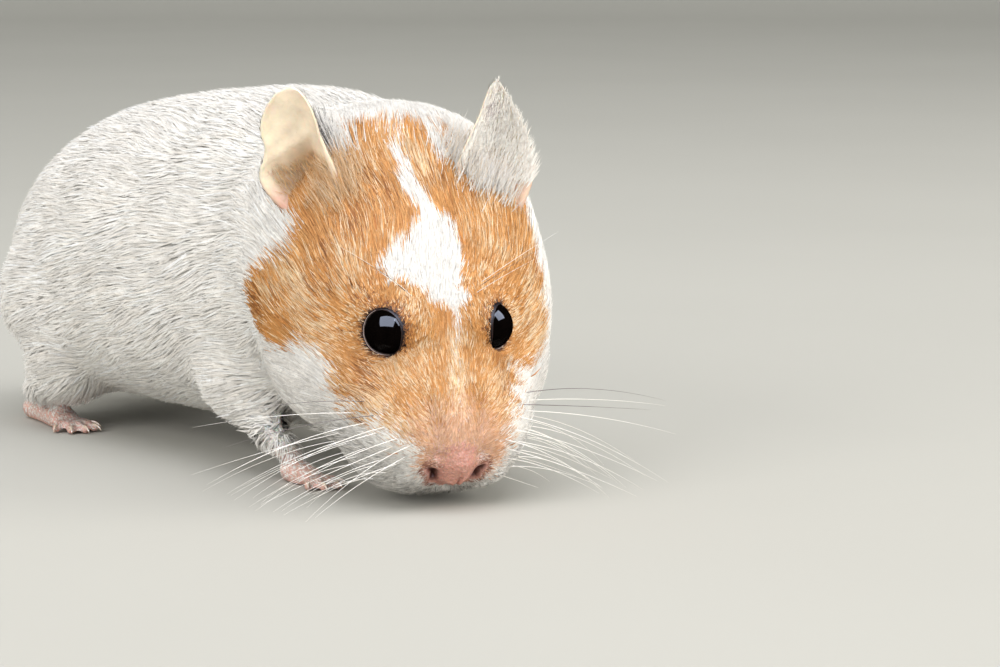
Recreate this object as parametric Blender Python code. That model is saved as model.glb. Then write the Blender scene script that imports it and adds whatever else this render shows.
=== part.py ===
"""A Syrian hamster, life size, crouched low with its nose to the ground.

Lengths in the tables are millimetres. The hamster faces -Y, +X is its left side and +Z is up.
The outlines are those of the coat's tips. The flesh is made whole from lofted shapes, fused,
and then parted by thin cuts into the pieces that a person would name.
"""

import math

import bmesh
import bpy
import numpy as np
from mathutils import Matrix, Vector

MM = 0.001
GAP = 0.3                   # width of a parting cut, mm
FUSE_VOXEL = 0.75           # grid of the fused flesh, mm
FLESH_TRIANGLES = 2480      # of the fused flesh before it is parted
PAW_VOXEL = 0.25            # grid of a paw, mm
PAW_TRIANGLES = 270         # of a forepaw
FOOT_TRIANGLES = 360        # of a hind foot
BEYOND = 100.0              # farther out than any piece reaches, mm

# ---------------------------------------------------------------- driving dimensions, mm
HEAD_AT = (-2.1, -37.8, 35.0)   # middle of the skull, between the ears
HEAD_PITCH = 44.0               # nose down, degrees
HEAD_YAW = 14.0                 # nose towards the hamster's right, degrees

NOSE_TIP = (0.0, -37.6, -4.3)   # in the head frame
NOSE_RADIUS = 3.7
EYE_RADIUS = 3.4
EYE_AT = (7.35, -19.3, 4.0)     # left eye's middle, in the head frame
JAW_TOP = -10.2                 # the mouth's level, in the head frame
JAW_BACK = -21.0                # the mouth's corner, in the head frame
JAW_HALF = 7.0                  # half the jaw's width

EAR_THICK = 1.1

NAPE_CUT = ((-28.0, 50.0), (-41.0, 10.0))       # y, z of two points of the plane behind the head
SHOULDER_CUT = ((-17.0, 50.0), (-31.0, 8.0))    # the same for the plane behind the neck
WRIST_LEVEL = 3.4               # height of the cut above a forepaw
ANKLE_LEVEL = 3.9               # height of the cut above a hind foot

# Rump to chest: y, x, middle height, half width, up, down, squareness above, squareness below
TRUNK = [
    (62.0, 0.0, 22.5, 3.0, 3.0, 3.0, 2.0, 2.0),
    (60.5, 0.0, 22.5, 9.0, 9.5, 9.0, 2.0, 2.0),
    (56.0, 0.0, 22.5, 15.5, 16.3, 15.0, 2.0, 2.0),
    (48.0, 0.0, 22.8, 21.5, 22.2, 18.0, 2.1, 2.1),
    (36.0, 0.0, 23.3, 25.6, 27.0, 19.0, 2.1, 2.3),
    (20.0, 0.0, 23.8, 27.0, 29.5, 19.5, 2.1, 2.3),
    (2.0, 0.0, 24.5, 25.6, 30.6, 20.0, 2.1, 2.3),
    (-14.0, 0.0, 25.5, 23.4, 30.5, 20.5, 2.1, 2.2),
    (-28.0, 0.0, 27.0, 21.0, 26.8, 20.0, 2.0, 2.0),
    (-38.0, 0.0, 28.0, 16.0, 17.0, 17.0, 2.0, 2.0),
    (-43.0, 0.0, 27.0, 10.0, 9.0, 11.0, 2.0, 2.0),
    (-45.0, 0.0, 26.0, 4.0, 3.0, 4.0, 2.0, 2.0),
]

# Nape to nose tip in the head frame, with the same columns
HEAD = [
    (23.0, 0.0, -2.0, 5.0, 4.0, 4.0, 2.0, 2.0),
    (20.5, 0.0, -2.0, 13.0, 10.0, 9.0, 2.0, 2.0),
    (15.0, 0.0, -3.0, 19.5, 15.5, 12.5, 2.0, 2.0),
    (6.0, 0.0, -4.0, 22.6, 18.5, 13.5, 1.95, 2.0),
    (-4.0, 0.0, -5.0, 23.2, 17.8, 14.5, 1.9, 2.0),
    (-12.0, 0.0, -5.5, 22.0, 16.2, 14.3, 1.8, 2.0),
    (-18.5, 0.0, -5.5, 18.9, 13.6, 13.6, 1.75, 2.0),
    (-23.0, 0.0, -5.3, 16.2, 11.6, 13.4, 1.8, 2.0),
    (-27.5, 0.0, -5.0, 14.2, 9.6, 13.2, 1.95, 2.2),
    (-31.5, 0.0, -4.8, 12.3, 7.8, 12.0, 2.1, 2.3),
    (-34.5, 0.0, -4.6, 9.8, 6.2, 9.8, 2.2, 2.3),
    (-36.8, 0.0, -4.4, 5.4, 4.0, 5.2, 2.0, 2.0),
    (-37.6, 0.0, -4.3, 2.2, 1.8, 1.8, 2.0, 2.0),
]

# Mounds of the left half of the head, in the head frame: x, y, z and three radii
MOUNDS = [
    (12.0, -11.0, -9.0, 10.0, 15.0, 9.5),       # cheek pouch
    (4.8, -32.0, -6.6, 5.4, 5.4, 5.4),          # whisker pad
    (5.8, -18.7, 3.0, 4.7, 4.7, 4.7),           # brow and lids
    (11.0, 2.5, 6.0, 6.0, 6.0, 6.0),            # root of the ear
]

# Left limbs: x, y, z, radius
FORELEG = [
    (13.0, -16.0, 20.0, 8.0),
    (16.5, -17.0, 13.5, 7.0),
    (15.8, -22.0, 8.5, 4.2),
    (14.8, -27.0, 5.0, 2.7),
    (14.5, -29.0, 1.5, 2.3),
]
HIND_LEG = [
    (14.5, 37.0, 24.0, 13.0),
    (18.0, 32.5, 18.0, 12.0),
    (20.2, 29.5, 12.8, 8.4),
    (20.0, 35.0, 7.5, 5.0),
    (19.5, 41.0, 2.0, 2.8),
]

# Ellipsoids that hold a left leg: x, y, z, three radii, and the lean of the lower end forwards, degrees
FORELEG_ZONE = (17.0, -21.5, 11.0, 9.0, 9.0, 19.0, 30.0)
HIND_LEG_ZONE = (21.0, 34.0, 11.0, 12.5, 19.0, 21.0, 0.0)

# Left paws: the sole's middle line as x, y, z, radius, then each toe's angle outwards and length
FOREPAW_SOLE = [(14.5, -28.6, 1.7, 2.1), (14.3, -30.6, 1.3, 2.2), (14.2, -32.6, 1.1, 1.9)]
FOREPAW_TOES = [(-33.0, 3.6), (-11.0, 4.6), (11.0, 4.7), (34.0, 3.8)]
HIND_FOOT_SOLE = [(19.5, 43.0, 1.7, 2.1), (19.7, 37.0, 1.5, 2.2), (20.2, 31.5, 1.2, 2.4)]
HIND_FOOT_TOES = [(-38.0, 3.8), (-17.0, 5.6), (1.0, 6.1), (19.0, 5.6), (42.0, 4.0)]
TOE_RADIUS = 0.75
CLAW_LENGTH = 1.5

# Tail, rump to tip: x, y, z, radius
TAIL = [
    (0.0, 56.0, 17.0, 3.2),
    (0.0, 62.0, 15.5, 2.7),
    (0.0, 66.5, 13.2, 2.0),
    (0.0, 69.5, 10.6, 1.3),
    (0.0, 70.1, 9.9, 0.7),
]

# Ears in the head frame: root, direction of the tip, direction out of the cup
LEFT_EAR_AXES = ((12.0, 2.8, 9.5), (-0.02, 0.50, 0.86), (0.25, -0.88, 0.40))
RIGHT_EAR_AXES = ((-12.2, 2.8, 9.5), (-0.42, 0.42, 0.80), (-0.50, -0.84, 0.20))
# Ears, root to tip: height, reach of the inner edge, reach of the outer edge, forward curl of the edges
LEFT_EAR = [
    (-3.5, 5.6, 4.4, 5.2),
    (0.0, 6.6, 5.4, 4.6),
    (3.5, 6.2, 5.3, 3.8),
    (7.0, 4.7, 4.4, 3.0),
    (10.0, 3.0, 3.2, 2.1),
    (12.5, 1.6, 1.8, 1.2),
    (14.2, 0.5, 0.6, 0.4),
]
RIGHT_EAR = [
    (-3.5, 2.8, 4.4, 5.0),
    (0.5, 3.2, 6.6, 4.4),
    (4.0, 3.4, 7.8, 3.2),
    (7.0, 3.6, 6.4, 2.4),
    (10.0, 3.7, 6.6, 1.8),
    (13.5, 3.0, 4.8, 1.2),
    (15.6, 1.2, 1.8, 0.5),
]


# ---------------------------------------------------------------- frames and curves
def head_frame():
    """World matrix of the head frame, in metres: nose at -Y, crown at +Z."""
    return (
        Matrix.Translation(Vector(HEAD_AT) * MM)
        @ Matrix.Rotation(math.radians(-HEAD_YAW), 4, "Z")
        @ Matrix.Rotation(math.radians(HEAD_PITCH), 4, "X")
    )


def smooth_rows(rows, count, places=3):
    """The rows resampled to count of them, evenly along cubics that pass through every given row."""
    table = np.array(rows, float)
    steps = np.linalg.norm(np.diff(table[:, :places], axis=0), axis=1)
    length = np.concatenate([[0], np.cumsum(steps)])
    slope = np.gradient(table, length, axis=0)
    at = np.linspace(0, length[-1], count)
    low = np.clip(np.searchsorted(length, at, side="right") - 1, 0, len(length) - 2)
    step = (length[low + 1] - length[low])[:, None]
    t = (at - length[low])[:, None] / step
    return (
        (2 * t**3 - 3 * t**2 + 1) * table[low]
        + (t**3 - 2 * t**2 + t) * step * slope[low]
        + (3 * t**2 - 2 * t**3) * table[low + 1]
        + (t**3 - t**2) * step * slope[low + 1]
    )


def mirrored(rows):
    """The rows with their first number, x, on the other side."""
    return [(-row[0], *row[1:]) for row in rows]


# ---------------------------------------------------------------- mesh helpers
def new_object(name, mesh):
    made = bpy.data.objects.new(name, mesh)
    bpy.context.collection.objects.link(made)
    return made


def finish_mesh(bm, name):
    bmesh.ops.recalc_face_normals(bm, faces=bm.faces)
    mesh = bpy.data.meshes.new(name)
    bm.to_mesh(mesh)
    bm.free()
    return new_object(name, mesh)


def loft(name, rows, frame=Matrix.Identity(4), rings=40, sides=40):
    """A closed body of rings across Y, from the tables' rows."""
    bm = bmesh.new()
    loops = []
    for y, x, z, wide, up, down, square_up, square_down in smooth_rows(rows, rings, places=4):
        loop = []
        for k in range(sides):
            turn = 2 * math.pi * k / sides
            c, s = math.cos(turn), math.sin(turn)
            square = square_up if s > 0 else square_down
            across = wide * math.copysign(abs(c) ** (2 / square), c)
            above = (up if s > 0 else down) * math.copysign(abs(s) ** (2 / square), s)
            loop.append(bm.verts.new(frame @ (Vector((x + across, y, z + above)) * MM)))
        loops.append(loop)
    for first, second in zip(loops, loops[1:]):
        for k in range(sides):
            bm.faces.new((first[k], first[k - 1], second[k - 1], second[k]))
    for loop in (loops[0], loops[-1]):
        bm.faces.new(loop)
    return finish_mesh(bm, name)


def tube(name, points, count=12, sides=12):
    """A limb: a bevelled curve through rows of x, y, z, radius, capped at both ends."""
    curve = bpy.data.curves.new(name, "CURVE")
    curve.dimensions = "3D"
    curve.bevel_depth = MM
    curve.bevel_resolution = sides // 4
    curve.use_fill_caps = True
    rows = smooth_rows(points, count)
    spline = curve.splines.new("POLY")
    spline.points.add(len(rows) - 1)
    for point, (x, y, z, radius) in zip(spline.points, rows):
        point.co = (x * MM, y * MM, z * MM, 1)
        point.radius = radius
    return baked(new_object(name, curve))


def ellipsoid(name, centre, radii, frame=Matrix.Identity(4), detail=3):
    bm = bmesh.new()
    bmesh.ops.create_icosphere(bm, subdivisions=detail, radius=1)
    place = frame @ Matrix.Translation(Vector(centre) * MM) @ Matrix.Diagonal((*(Vector(radii) * MM), 1))
    bmesh.ops.transform(bm, matrix=place, verts=bm.verts)
    return finish_mesh(bm, name)


def box(name, low, high, frame=Matrix.Identity(4)):
    bm = bmesh.new()
    bmesh.ops.create_cube(bm, size=1)
    low, high = Vector(low), Vector(high)
    place = frame @ Matrix.Translation((low + high) / 2 * MM) @ Matrix.Diagonal((*((high - low) * MM), 1))
    bmesh.ops.transform(bm, matrix=place, verts=bm.verts)
    return finish_mesh(bm, name)


def removed(*objects):
    for o in objects:
        bpy.data.objects.remove(o)


def baked(o):
    """The object's evaluated shape as a plain mesh object of the same name."""
    bpy.context.view_layer.update()
    seen = o.evaluated_get(bpy.context.evaluated_depsgraph_get())
    mesh = bpy.data.meshes.new_from_object(seen)
    name, matrix = o.name, o.matrix_world.copy()
    removed(o)
    mesh.transform(matrix)
    return new_object(name, mesh)


def joined(name, objects):
    bm = bmesh.new()
    for o in objects:
        bm.from_mesh(o.data)
    removed(*objects)
    mesh = bpy.data.meshes.new(name)
    bm.to_mesh(mesh)
    bm.free()
    return new_object(name, mesh)


def fused(name, objects, voxel, triangles, smoothing):
    """The overlapping objects as one closed, smoothed body of about that many triangles."""
    whole = joined(name, objects)
    remesh = whole.modifiers.new("fuse", "REMESH")
    remesh.mode = "VOXEL"
    remesh.voxel_size = voxel * MM
    smooth = whole.modifiers.new("smooth", "SMOOTH")
    smooth.factor = 0.5
    smooth.iterations = smoothing
    whole = baked(whole)
    have = sum(len(p.vertices) - 2 for p in whole.data.polygons)
    decimate = whole.modifiers.new("thin", "DECIMATE")
    decimate.ratio = triangles / have
    return baked(whole)


def copied(o, name):
    return new_object(name, o.data.copy())


def boolean(o, other, operation):
    """The object cut by, or kept inside, the other one, which is used up."""
    step = o.modifiers.new(operation.lower(), "BOOLEAN")
    step.operation = operation
    step.solver = "EXACT"
    step.object = other
    made = baked(o)
    removed(other)
    return made


# ---------------------------------------------------------------- flesh
def flesh():
    """Trunk, head and legs as one body."""
    frame = head_frame()
    pieces = [
        loft("trunk_form", TRUNK),
        loft("head_form", HEAD, frame, rings=48),
    ]
    for rows in (FORELEG, mirrored(FORELEG), HIND_LEG, mirrored(HIND_LEG)):
        pieces.append(tube("leg_form", rows, sides=20, count=24))
    for x, y, z, *radii in MOUNDS + mirrored(MOUNDS):
        pieces.append(ellipsoid("mound", (x, y, z), radii, frame))
    return fused("flesh", pieces, FUSE_VOXEL, FLESH_TRIANGLES, 6)


def floor_side(level):
    """Everything below that level, as a box."""
    return box("floor_side", (-BEYOND, -BEYOND, -BEYOND), (BEYOND, BEYOND, level))


def leg_zone(zone, side, grow=0.0):
    """The ellipsoid that holds a leg, leaned about X."""
    x, y, z, rx, ry, rz, lean = zone
    frame = Matrix.Translation(Vector((side * x, y, z)) * MM) @ Matrix.Rotation(math.radians(-lean), 4, "X")
    return ellipsoid("zone", (0, 0, 0), (rx + grow, ry + grow, rz + grow), frame)


def slice_box(front, back):
    """A box across the body between two planes, each given as two y, z points."""
    ring = []
    for plane, heights in ((front, (BEYOND, -BEYOND)), (back, (-BEYOND, BEYOND))):
        (y0, z0), (y1, z1) = plane
        for z in heights:
            ring.append((y0 + (y1 - y0) * (z - z0) / (z1 - z0), z))
    bm = bmesh.new()
    sides = [[bm.verts.new(Vector((x, y, z)) * MM) for y, z in ring] for x in (-BEYOND, BEYOND)]
    bm.faces.new(sides[0])
    bm.faces.new(sides[1][::-1])
    for k in range(len(ring)):
        bm.faces.new((sides[0][k], sides[0][k - 1], sides[1][k - 1], sides[1][k]))
    return finish_mesh(bm, "slice")


def moved_plane(plane, by):
    """The plane moved back by that distance, measured square to it."""
    (y0, z0), (y1, z1) = plane
    along = by * math.hypot(y1 - y0, z1 - z0) / abs(z1 - z0)
    return (y0 + along, z0), (y1 + along, z1)


def parted(whole):
    """The flesh cut into head, lower jaw, nose, neck, trunk and four legs."""
    nodes = []
    frame = head_frame()
    for side, word in ((1, "left"), (-1, "right")):
        for zone, name, level in (
            (FORELEG_ZONE, "foreleg_", WRIST_LEVEL),
            (HIND_LEG_ZONE, "hind_leg_", ANKLE_LEVEL),
        ):
            leg = boolean(copied(whole, name + word), leg_zone(zone, side), "INTERSECT")
            leg = boolean(leg, floor_side(level), "DIFFERENCE")
            nodes.append(leg)
            whole = boolean(whole, leg_zone(zone, side, GAP), "DIFFERENCE")
    head_side = slice_box(moved_plane(NAPE_CUT, -BEYOND), NAPE_CUT)
    head = boolean(copied(whole, "head"), head_side, "INTERSECT")
    between = slice_box(moved_plane(NAPE_CUT, GAP), SHOULDER_CUT)
    neck = boolean(copied(whole, "neck"), between, "INTERSECT")
    tail_side = slice_box(moved_plane(SHOULDER_CUT, GAP), moved_plane(SHOULDER_CUT, BEYOND))
    trunk = boolean(whole, tail_side, "INTERSECT")
    trunk.name = "trunk"
    nodes += [neck, trunk]

    nose = boolean(copied(head, "nose"), ellipsoid("zone", NOSE_TIP, (NOSE_RADIUS,) * 3, frame), "INTERSECT")
    head = boolean(head, ellipsoid("zone", NOSE_TIP, (NOSE_RADIUS + GAP,) * 3, frame), "DIFFERENCE")
    low, high = Vector((-JAW_HALF, -BEYOND, -BEYOND)), Vector((JAW_HALF, JAW_BACK, JAW_TOP))
    jaw = boolean(copied(head, "lower_jaw"), box("zone", low, high, frame), "INTERSECT")
    clear = Vector((GAP, GAP, GAP))
    head = boolean(head, box("zone", low - clear, high + clear, frame), "DIFFERENCE")
    for side in (-1, 1):
        x, y, z = EYE_AT
        socket = ellipsoid("socket", (side * x, y, z), (EYE_RADIUS + GAP,) * 3, frame)
        head = boolean(head, socket, "DIFFERENCE")
    return nodes + [head, nose, jaw]


# ---------------------------------------------------------------- eyes, ears, paws, tail
def eyes():
    made = []
    x, y, z = EYE_AT
    for side, word in ((1, "left"), (-1, "right")):
        made.append(ellipsoid("eye_" + word, (side * x, y, z), (EYE_RADIUS,) * 3, head_frame()))
    return made


def ear(name, axes, rows, across=6):
    """A cupped shell on the ear's own axes, closed all round, with its root inside the head."""
    root, up, facing = (Vector(v) for v in axes)
    up.normalize()
    facing = (facing - up * facing.dot(up)).normalized()
    outward = facing.cross(up)
    if outward.x * root.x < 0:
        outward = -outward
    bm = bmesh.new()
    lines = []
    for height, inner, outer, curl in smooth_rows(rows, 10, places=1):
        line = []
        for k in range(across + 1):
            u = 2 * k / across - 1
            reach = u * (outer if u > 0 else inner)
            at = root + up * height + outward * reach + facing * (curl * (u * u - 0.35))
            line.append(bm.verts.new(at * MM))
        lines.append(line)
    for first, second in zip(lines, lines[1:]):
        for k in range(across):
            bm.faces.new((first[k], first[k + 1], second[k + 1], second[k]))
    bmesh.ops.transform(bm, matrix=head_frame(), verts=bm.verts)
    shell = finish_mesh(bm, name)
    thick = shell.modifiers.new("thick", "SOLIDIFY")
    thick.thickness = EAR_THICK * MM
    thick.offset = 0
    return baked(shell)


def ears(flesh_grown):
    """Both ears, cut off where they would enter the grown flesh."""
    made = []
    for word, axes, rows in (("left", LEFT_EAR_AXES, LEFT_EAR), ("right", RIGHT_EAR_AXES, RIGHT_EAR)):
        shell = ear("ear_" + word, axes, rows)
        made.append(boolean(shell, copied(flesh_grown, "grown"), "DIFFERENCE"))
    return made


def paw(name, sole, toes, side, level, triangles):
    """Sole, toes and claws fused, cut flat below at the floor and above at the leg."""
    if side < 0:
        sole = mirrored(sole)
    x, y, z, radius = sole[-1]
    pieces = [tube("sole", sole, sides=16, count=10)]
    pieces.append(ellipsoid("ball", (x, y, 1.2), (radius * 1.1, radius * 1.1, 1.5)))
    pieces.append(ellipsoid("heel", sole[0][:3], (sole[0][3],) * 3))
    for angle, length in toes:
        turn = math.radians(angle) * side
        ahead = Vector((math.sin(turn), -math.cos(turn), 0))
        base = Vector((x, y, 0)) + ahead * radius * 0.5
        knuckle, tip = base + ahead * length * 0.5, base + ahead * length
        claw = tip + ahead * CLAW_LENGTH
        points = [
            (base.x, base.y, 0.9, TOE_RADIUS * 1.1),
            (knuckle.x, knuckle.y, 1.15, TOE_RADIUS),
            (tip.x, tip.y, 0.65, TOE_RADIUS),
        ]
        pieces.append(tube("toe", points, count=8))
        pieces.append(ellipsoid("pad", (tip.x, tip.y, 0.6), (TOE_RADIUS * 1.05,) * 3, detail=2))
        pieces.append(tube("claw", [(tip.x, tip.y, 1.0, 0.45), (claw.x, claw.y, 0.5, 0.3)], count=4))
    whole = fused(name, pieces, PAW_VOXEL, triangles, 1)
    leg_side = box("leg_side", (-BEYOND, -BEYOND, level - GAP), (BEYOND, BEYOND, BEYOND))
    whole = boolean(whole, leg_side, "DIFFERENCE")
    return boolean(whole, floor_side(0.0), "DIFFERENCE")


def paws():
    made = []
    for side, word in ((1, "left"), (-1, "right")):
        made.append(paw("forepaw_" + word, FOREPAW_SOLE, FOREPAW_TOES, side, WRIST_LEVEL, PAW_TRIANGLES))
        foot = paw("hind_foot_" + word, HIND_FOOT_SOLE, HIND_FOOT_TOES, side, ANKLE_LEVEL, FOOT_TRIANGLES)
        made.append(foot)
    return made


def tail(flesh_grown):
    """A short taper, cut off where it would enter the grown flesh."""
    stub = tube("tail", TAIL, count=10, sides=16)
    return boolean(stub, copied(flesh_grown, "grown"), "DIFFERENCE")


# ---------------------------------------------------------------- finish
def dress(o, colour, roughness):
    """Smooth shading between soft edges, and one plain material."""
    material = bpy.data.materials.new(o.name)
    material.use_nodes = True
    shader = material.node_tree.nodes["Principled BSDF"]
    shader.inputs["Base Color"].default_value = (*colour, 1)
    shader.inputs["Roughness"].default_value = roughness
    shader.inputs["Metallic"].default_value = 0
    o.data.materials.clear()
    o.data.materials.append(material)
    for polygon in o.data.polygons:
        polygon.use_smooth = True
        polygon.material_index = 0
    o.data.set_sharp_from_angle(angle=math.radians(50))


WHITE, ORANGE, CREAM, PINK, BLACK = (
    (0.86, 0.84, 0.80), (0.72, 0.44, 0.22), (0.72, 0.58, 0.44), (0.80, 0.52, 0.47), (0.008, 0.008, 0.009),
)
LOOKS = {
    "head": (ORANGE, 0.8),
    "eye": (BLACK, 0.08),
    "ear": (CREAM, 0.6),
    "nose": (PINK, 0.45),
    "tail": (PINK, 0.6),
    "forepaw": (PINK, 0.6),
    "hind_foot": (PINK, 0.6),
}


def centred(nodes):
    """All nodes moved so that the middle of their common box's floor is the origin."""
    corners = np.array([v.co for o in nodes for v in o.data.vertices])
    low, high = corners.min(0), corners.max(0)
    move = Matrix.Translation((-(low[0] + high[0]) / 2, -(low[1] + high[1]) / 2, -low[2]))
    for o in nodes:
        o.data.transform(move)


def main():
    for o in list(bpy.data.objects):
        bpy.data.objects.remove(o)
    whole = flesh()
    grown = copied(whole, "grown_flesh")
    swell = grown.modifiers.new("swell", "DISPLACE")
    swell.strength = GAP * MM
    swell.mid_level = 0
    grown = baked(grown)
    nodes = ears(grown) + [tail(grown)] + parted(whole) + eyes() + paws()
    removed(grown)
    centred(nodes)
    for o in nodes:
        name = next((word for word in LOOKS if o.name.startswith(word)), None)
        dress(o, *LOOKS.get(name, (WHITE, 0.8)))


main()
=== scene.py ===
# %% [markdown]
# # A Syrian hamster, life size
#
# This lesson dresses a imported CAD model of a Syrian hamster: an orange and white animal, crouched low
# with its nose to the ground. The CAD gives the place and size of every part, out to the tips of the coat.
# Here one skin takes the place of the flesh, and the coat, the eyes, the whiskers and the claws go on it.
#
# Lengths are in millimetres, because that is how one thinks of a small animal. Blender works in metres,
# so they are turned at the moment a mesh is made. The hamster faces -Y, its left side is +X and +Z is up.

# %% Load the frame
import math
import time

import bmesh
import bpy
import numpy as np
from mathutils import Matrix, Vector
from mathutils.bvhtree import BVHTree
from mathutils.kdtree import KDTree


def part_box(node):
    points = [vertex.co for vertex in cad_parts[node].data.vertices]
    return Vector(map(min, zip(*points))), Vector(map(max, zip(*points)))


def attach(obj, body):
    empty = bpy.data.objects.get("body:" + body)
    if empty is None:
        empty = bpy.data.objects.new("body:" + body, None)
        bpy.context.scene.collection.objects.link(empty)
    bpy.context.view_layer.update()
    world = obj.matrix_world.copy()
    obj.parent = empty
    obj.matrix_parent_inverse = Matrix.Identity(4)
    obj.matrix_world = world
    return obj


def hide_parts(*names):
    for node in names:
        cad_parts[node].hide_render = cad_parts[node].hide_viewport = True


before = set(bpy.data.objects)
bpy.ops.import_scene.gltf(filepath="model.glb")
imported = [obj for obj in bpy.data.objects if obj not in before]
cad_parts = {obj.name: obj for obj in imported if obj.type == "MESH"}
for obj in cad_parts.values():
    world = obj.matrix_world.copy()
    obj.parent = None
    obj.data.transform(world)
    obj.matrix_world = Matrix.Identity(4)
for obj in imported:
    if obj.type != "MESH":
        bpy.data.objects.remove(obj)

MM = 0.001
started = time.time()
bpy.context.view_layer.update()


def clock():
    """The time since the start, for the log."""
    return "after %.1f s" % (time.time() - started)


# %% [markdown]
# Makers note colours as sRGB hex codes, but light adds up in linear numbers, so one function turns every code
# into those. A second one adds a node to a material, which would otherwise take four lines each time.

# %% Two small helpers for every material
def linear(code):
    """An sRGB hex colour, as a maker would note it, turned to the linear numbers that Blender mixes."""
    parts = [int(code[i:i + 2], 16) / 255 for i in (1, 3, 5)]
    return tuple(p / 12.92 if p <= 0.04045 else ((p + 0.055) / 1.055) ** 2.4 for p in parts)


def add(tree, kind, inputs=None, **settings):
    """One node, with its settings, and with each named input linked to a socket or set to a value."""
    made = tree.nodes.new(kind)
    for name, value in settings.items():
        setattr(made, name, value)
    for name, value in (inputs or {}).items():
        if isinstance(value, bpy.types.NodeSocket):
            tree.links.new(value, made.inputs[name])
        else:
            made.inputs[name].default_value = value
    return made


# %% [markdown]
# The head has a frame of its own: its nose points to -Y and its crown to +Z, as if the hamster looked level.
# The eyes give its place and its turn, since both are round and their boxes' middles are their own.
# The nose hangs 44 degrees below level, and the eyes alone can't tell that, so it is given.

# %% The head's frame
HEAD_PITCH = 44.0
EYE_PLACE = np.array([7.35, -19.3, 4.0])
EYE_RADIUS = 3.4
NOSE_TIP = np.array([0.0, -37.6, -4.3])


def middle(node):
    low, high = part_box(node)
    return (low + high) / 2


across = middle("eye_left") - middle("eye_right")
sideways = math.atan2(across.y, across.x)
head_turn = Matrix.Rotation(sideways, 3, "Z") @ Matrix.Rotation(math.radians(HEAD_PITCH), 3, "X")
between = Vector((0, EYE_PLACE[1], EYE_PLACE[2])) * MM
head_origin = (middle("eye_left") + middle("eye_right")) / 2 - head_turn @ between
HEAD_AXES = np.array(head_turn)
HEAD_AT = np.array(head_origin) / MM


def to_head(points):
    """Points of the body, in mm, as the head's frame sees them."""
    return (points - HEAD_AT) @ HEAD_AXES


def folded(points):
    """The same, with the head's right half folded onto its left, so that one table does for both."""
    local = to_head(points)
    local[:, 0] = abs(local[:, 0])
    return local


def from_head(points):
    """The way back, from the head's frame to the body."""
    return points @ HEAD_AXES.T + HEAD_AT


print("the head's middle, mm:", HEAD_AT.round(2), "turned", round(math.degrees(sideways), 1), "degrees")


# %% [markdown]
# Everything below is worked out for many points at once, as numpy arrays. A few small functions are used
# throughout: one that steps smoothly from 0 to 1, one with the shape of a round hill, one that gives arrows a
# length of 1, and one that wanders smoothly over space, which stands for all that is uneven in a living coat.

# %% Helpers for many points at once
def ease(value, low, high):
    """From 0 at low to 1 at high, level at both ends."""
    t = np.clip((value - low) / (high - low), 0, 1)
    return t * t * (3 - 2 * t)


def hill(away, radius):
    """1 at a distance of 0, falling off smoothly to both sides: 0.37 at the radius, 0.02 at twice that."""
    return np.exp(-((away / radius) ** 2))


def blend(first, second, share):
    """From the first at a share of 0 to the second at 1."""
    return first * (1 - share) + second * share


def unit(arrows):
    return arrows / np.maximum(np.linalg.norm(arrows, axis=-1, keepdims=True), 1e-9)


def ripple(points, size, seed):
    """Smooth numbers from about -1 to 1 whose hills are about that many mm across: a few crossed waves."""
    rng = np.random.default_rng(seed)
    total = np.zeros(len(points))
    for _ in range(8):
        wave = unit(rng.normal(size=3)) * 2 * np.pi / (size * rng.uniform(0.8, 1.8))
        total += np.sin(points @ wave + rng.uniform(0, 2 * np.pi))
    return total / 2.8


def flat_arrows(arrows, normals):
    """The part of each arrow that lies along the surface, with a length of 1."""
    return unit(arrows - normals * np.sum(arrows * normals, axis=1, keepdims=True))


# %% [markdown]
# Most of what follows depends on where a place is: on the head or the body, near the nose, an eye or a foot.
# Vertex groups could say it, but they would have to be painted, and a function of a place serves skin and hair
# alike. How much a place belongs to the head is measured from a slanted plane through the nape.

# %% Where a place is on the body
NAPE_TOP, NAPE_FOOT = np.array([-31.4, 50.0]), np.array([-44.4, 10.0])
paw_nodes = [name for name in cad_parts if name.startswith(("forepaw", "hind_foot"))]
PAWS = {name: np.array(middle(name)) / MM for name in paw_nodes}


def head_share(points):
    slope = (NAPE_TOP[0] - NAPE_FOOT[0]) / (NAPE_TOP[1] - NAPE_FOOT[1])
    behind = points[:, 1] - (NAPE_FOOT[0] + slope * (points[:, 2] - NAPE_FOOT[1]))
    return 1 - ease(behind, -7, 9)


def nose_distance(points):
    return np.linalg.norm(to_head(points) - NOSE_TIP, axis=1)


def eye_distance(points):
    """From the middle of the nearer eye, mm."""
    return np.linalg.norm(folded(points) - EYE_PLACE, axis=1)


def paw_distance(points):
    """Along the ground from the nearest paw's middle line, mm."""
    gaps = []
    for at in PAWS.values():
        gap = points[:, :2] - at[:2]
        gap[:, 1] = np.maximum(abs(gap[:, 1]) - 6, 0)
        gaps.append(np.hypot(gap[:, 0], gap[:, 1]))
    return np.min(gaps, axis=0)


def leg_share(points):
    """1 on a foot and its ankle, 0 from 11 mm up or well away from the feet."""
    return (1 - ease(points[:, 2], 4.5, 11)) * (1 - ease(paw_distance(points), 4, 8))


def toe_share(points):
    """1 on the toes and the tail, which are small and would melt when relaxed."""
    return np.maximum(leg_share(points) * (points[:, 2] < 4.5), tail_share(points))


def tail_share(points):
    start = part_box("tail")[0].y / MM
    near = (abs(points[:, 0]) < 4) & (points[:, 2] < 19)
    return near * ease(points[:, 1], start - 0.5, start + 1.5)


def pad_share(points):
    """1 on the whisker pads and the chin beside the mouth, where short fur stands out."""
    away = (folded(points) - np.array([5.8, -31.2, -10.0])) / np.array([3.8, 4.8, 4.0])
    return hill(np.linalg.norm(away, axis=1), 1)


print("paws at, mm:", {name: at.round(1).tolist() for name, at in PAWS.items()})


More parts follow.
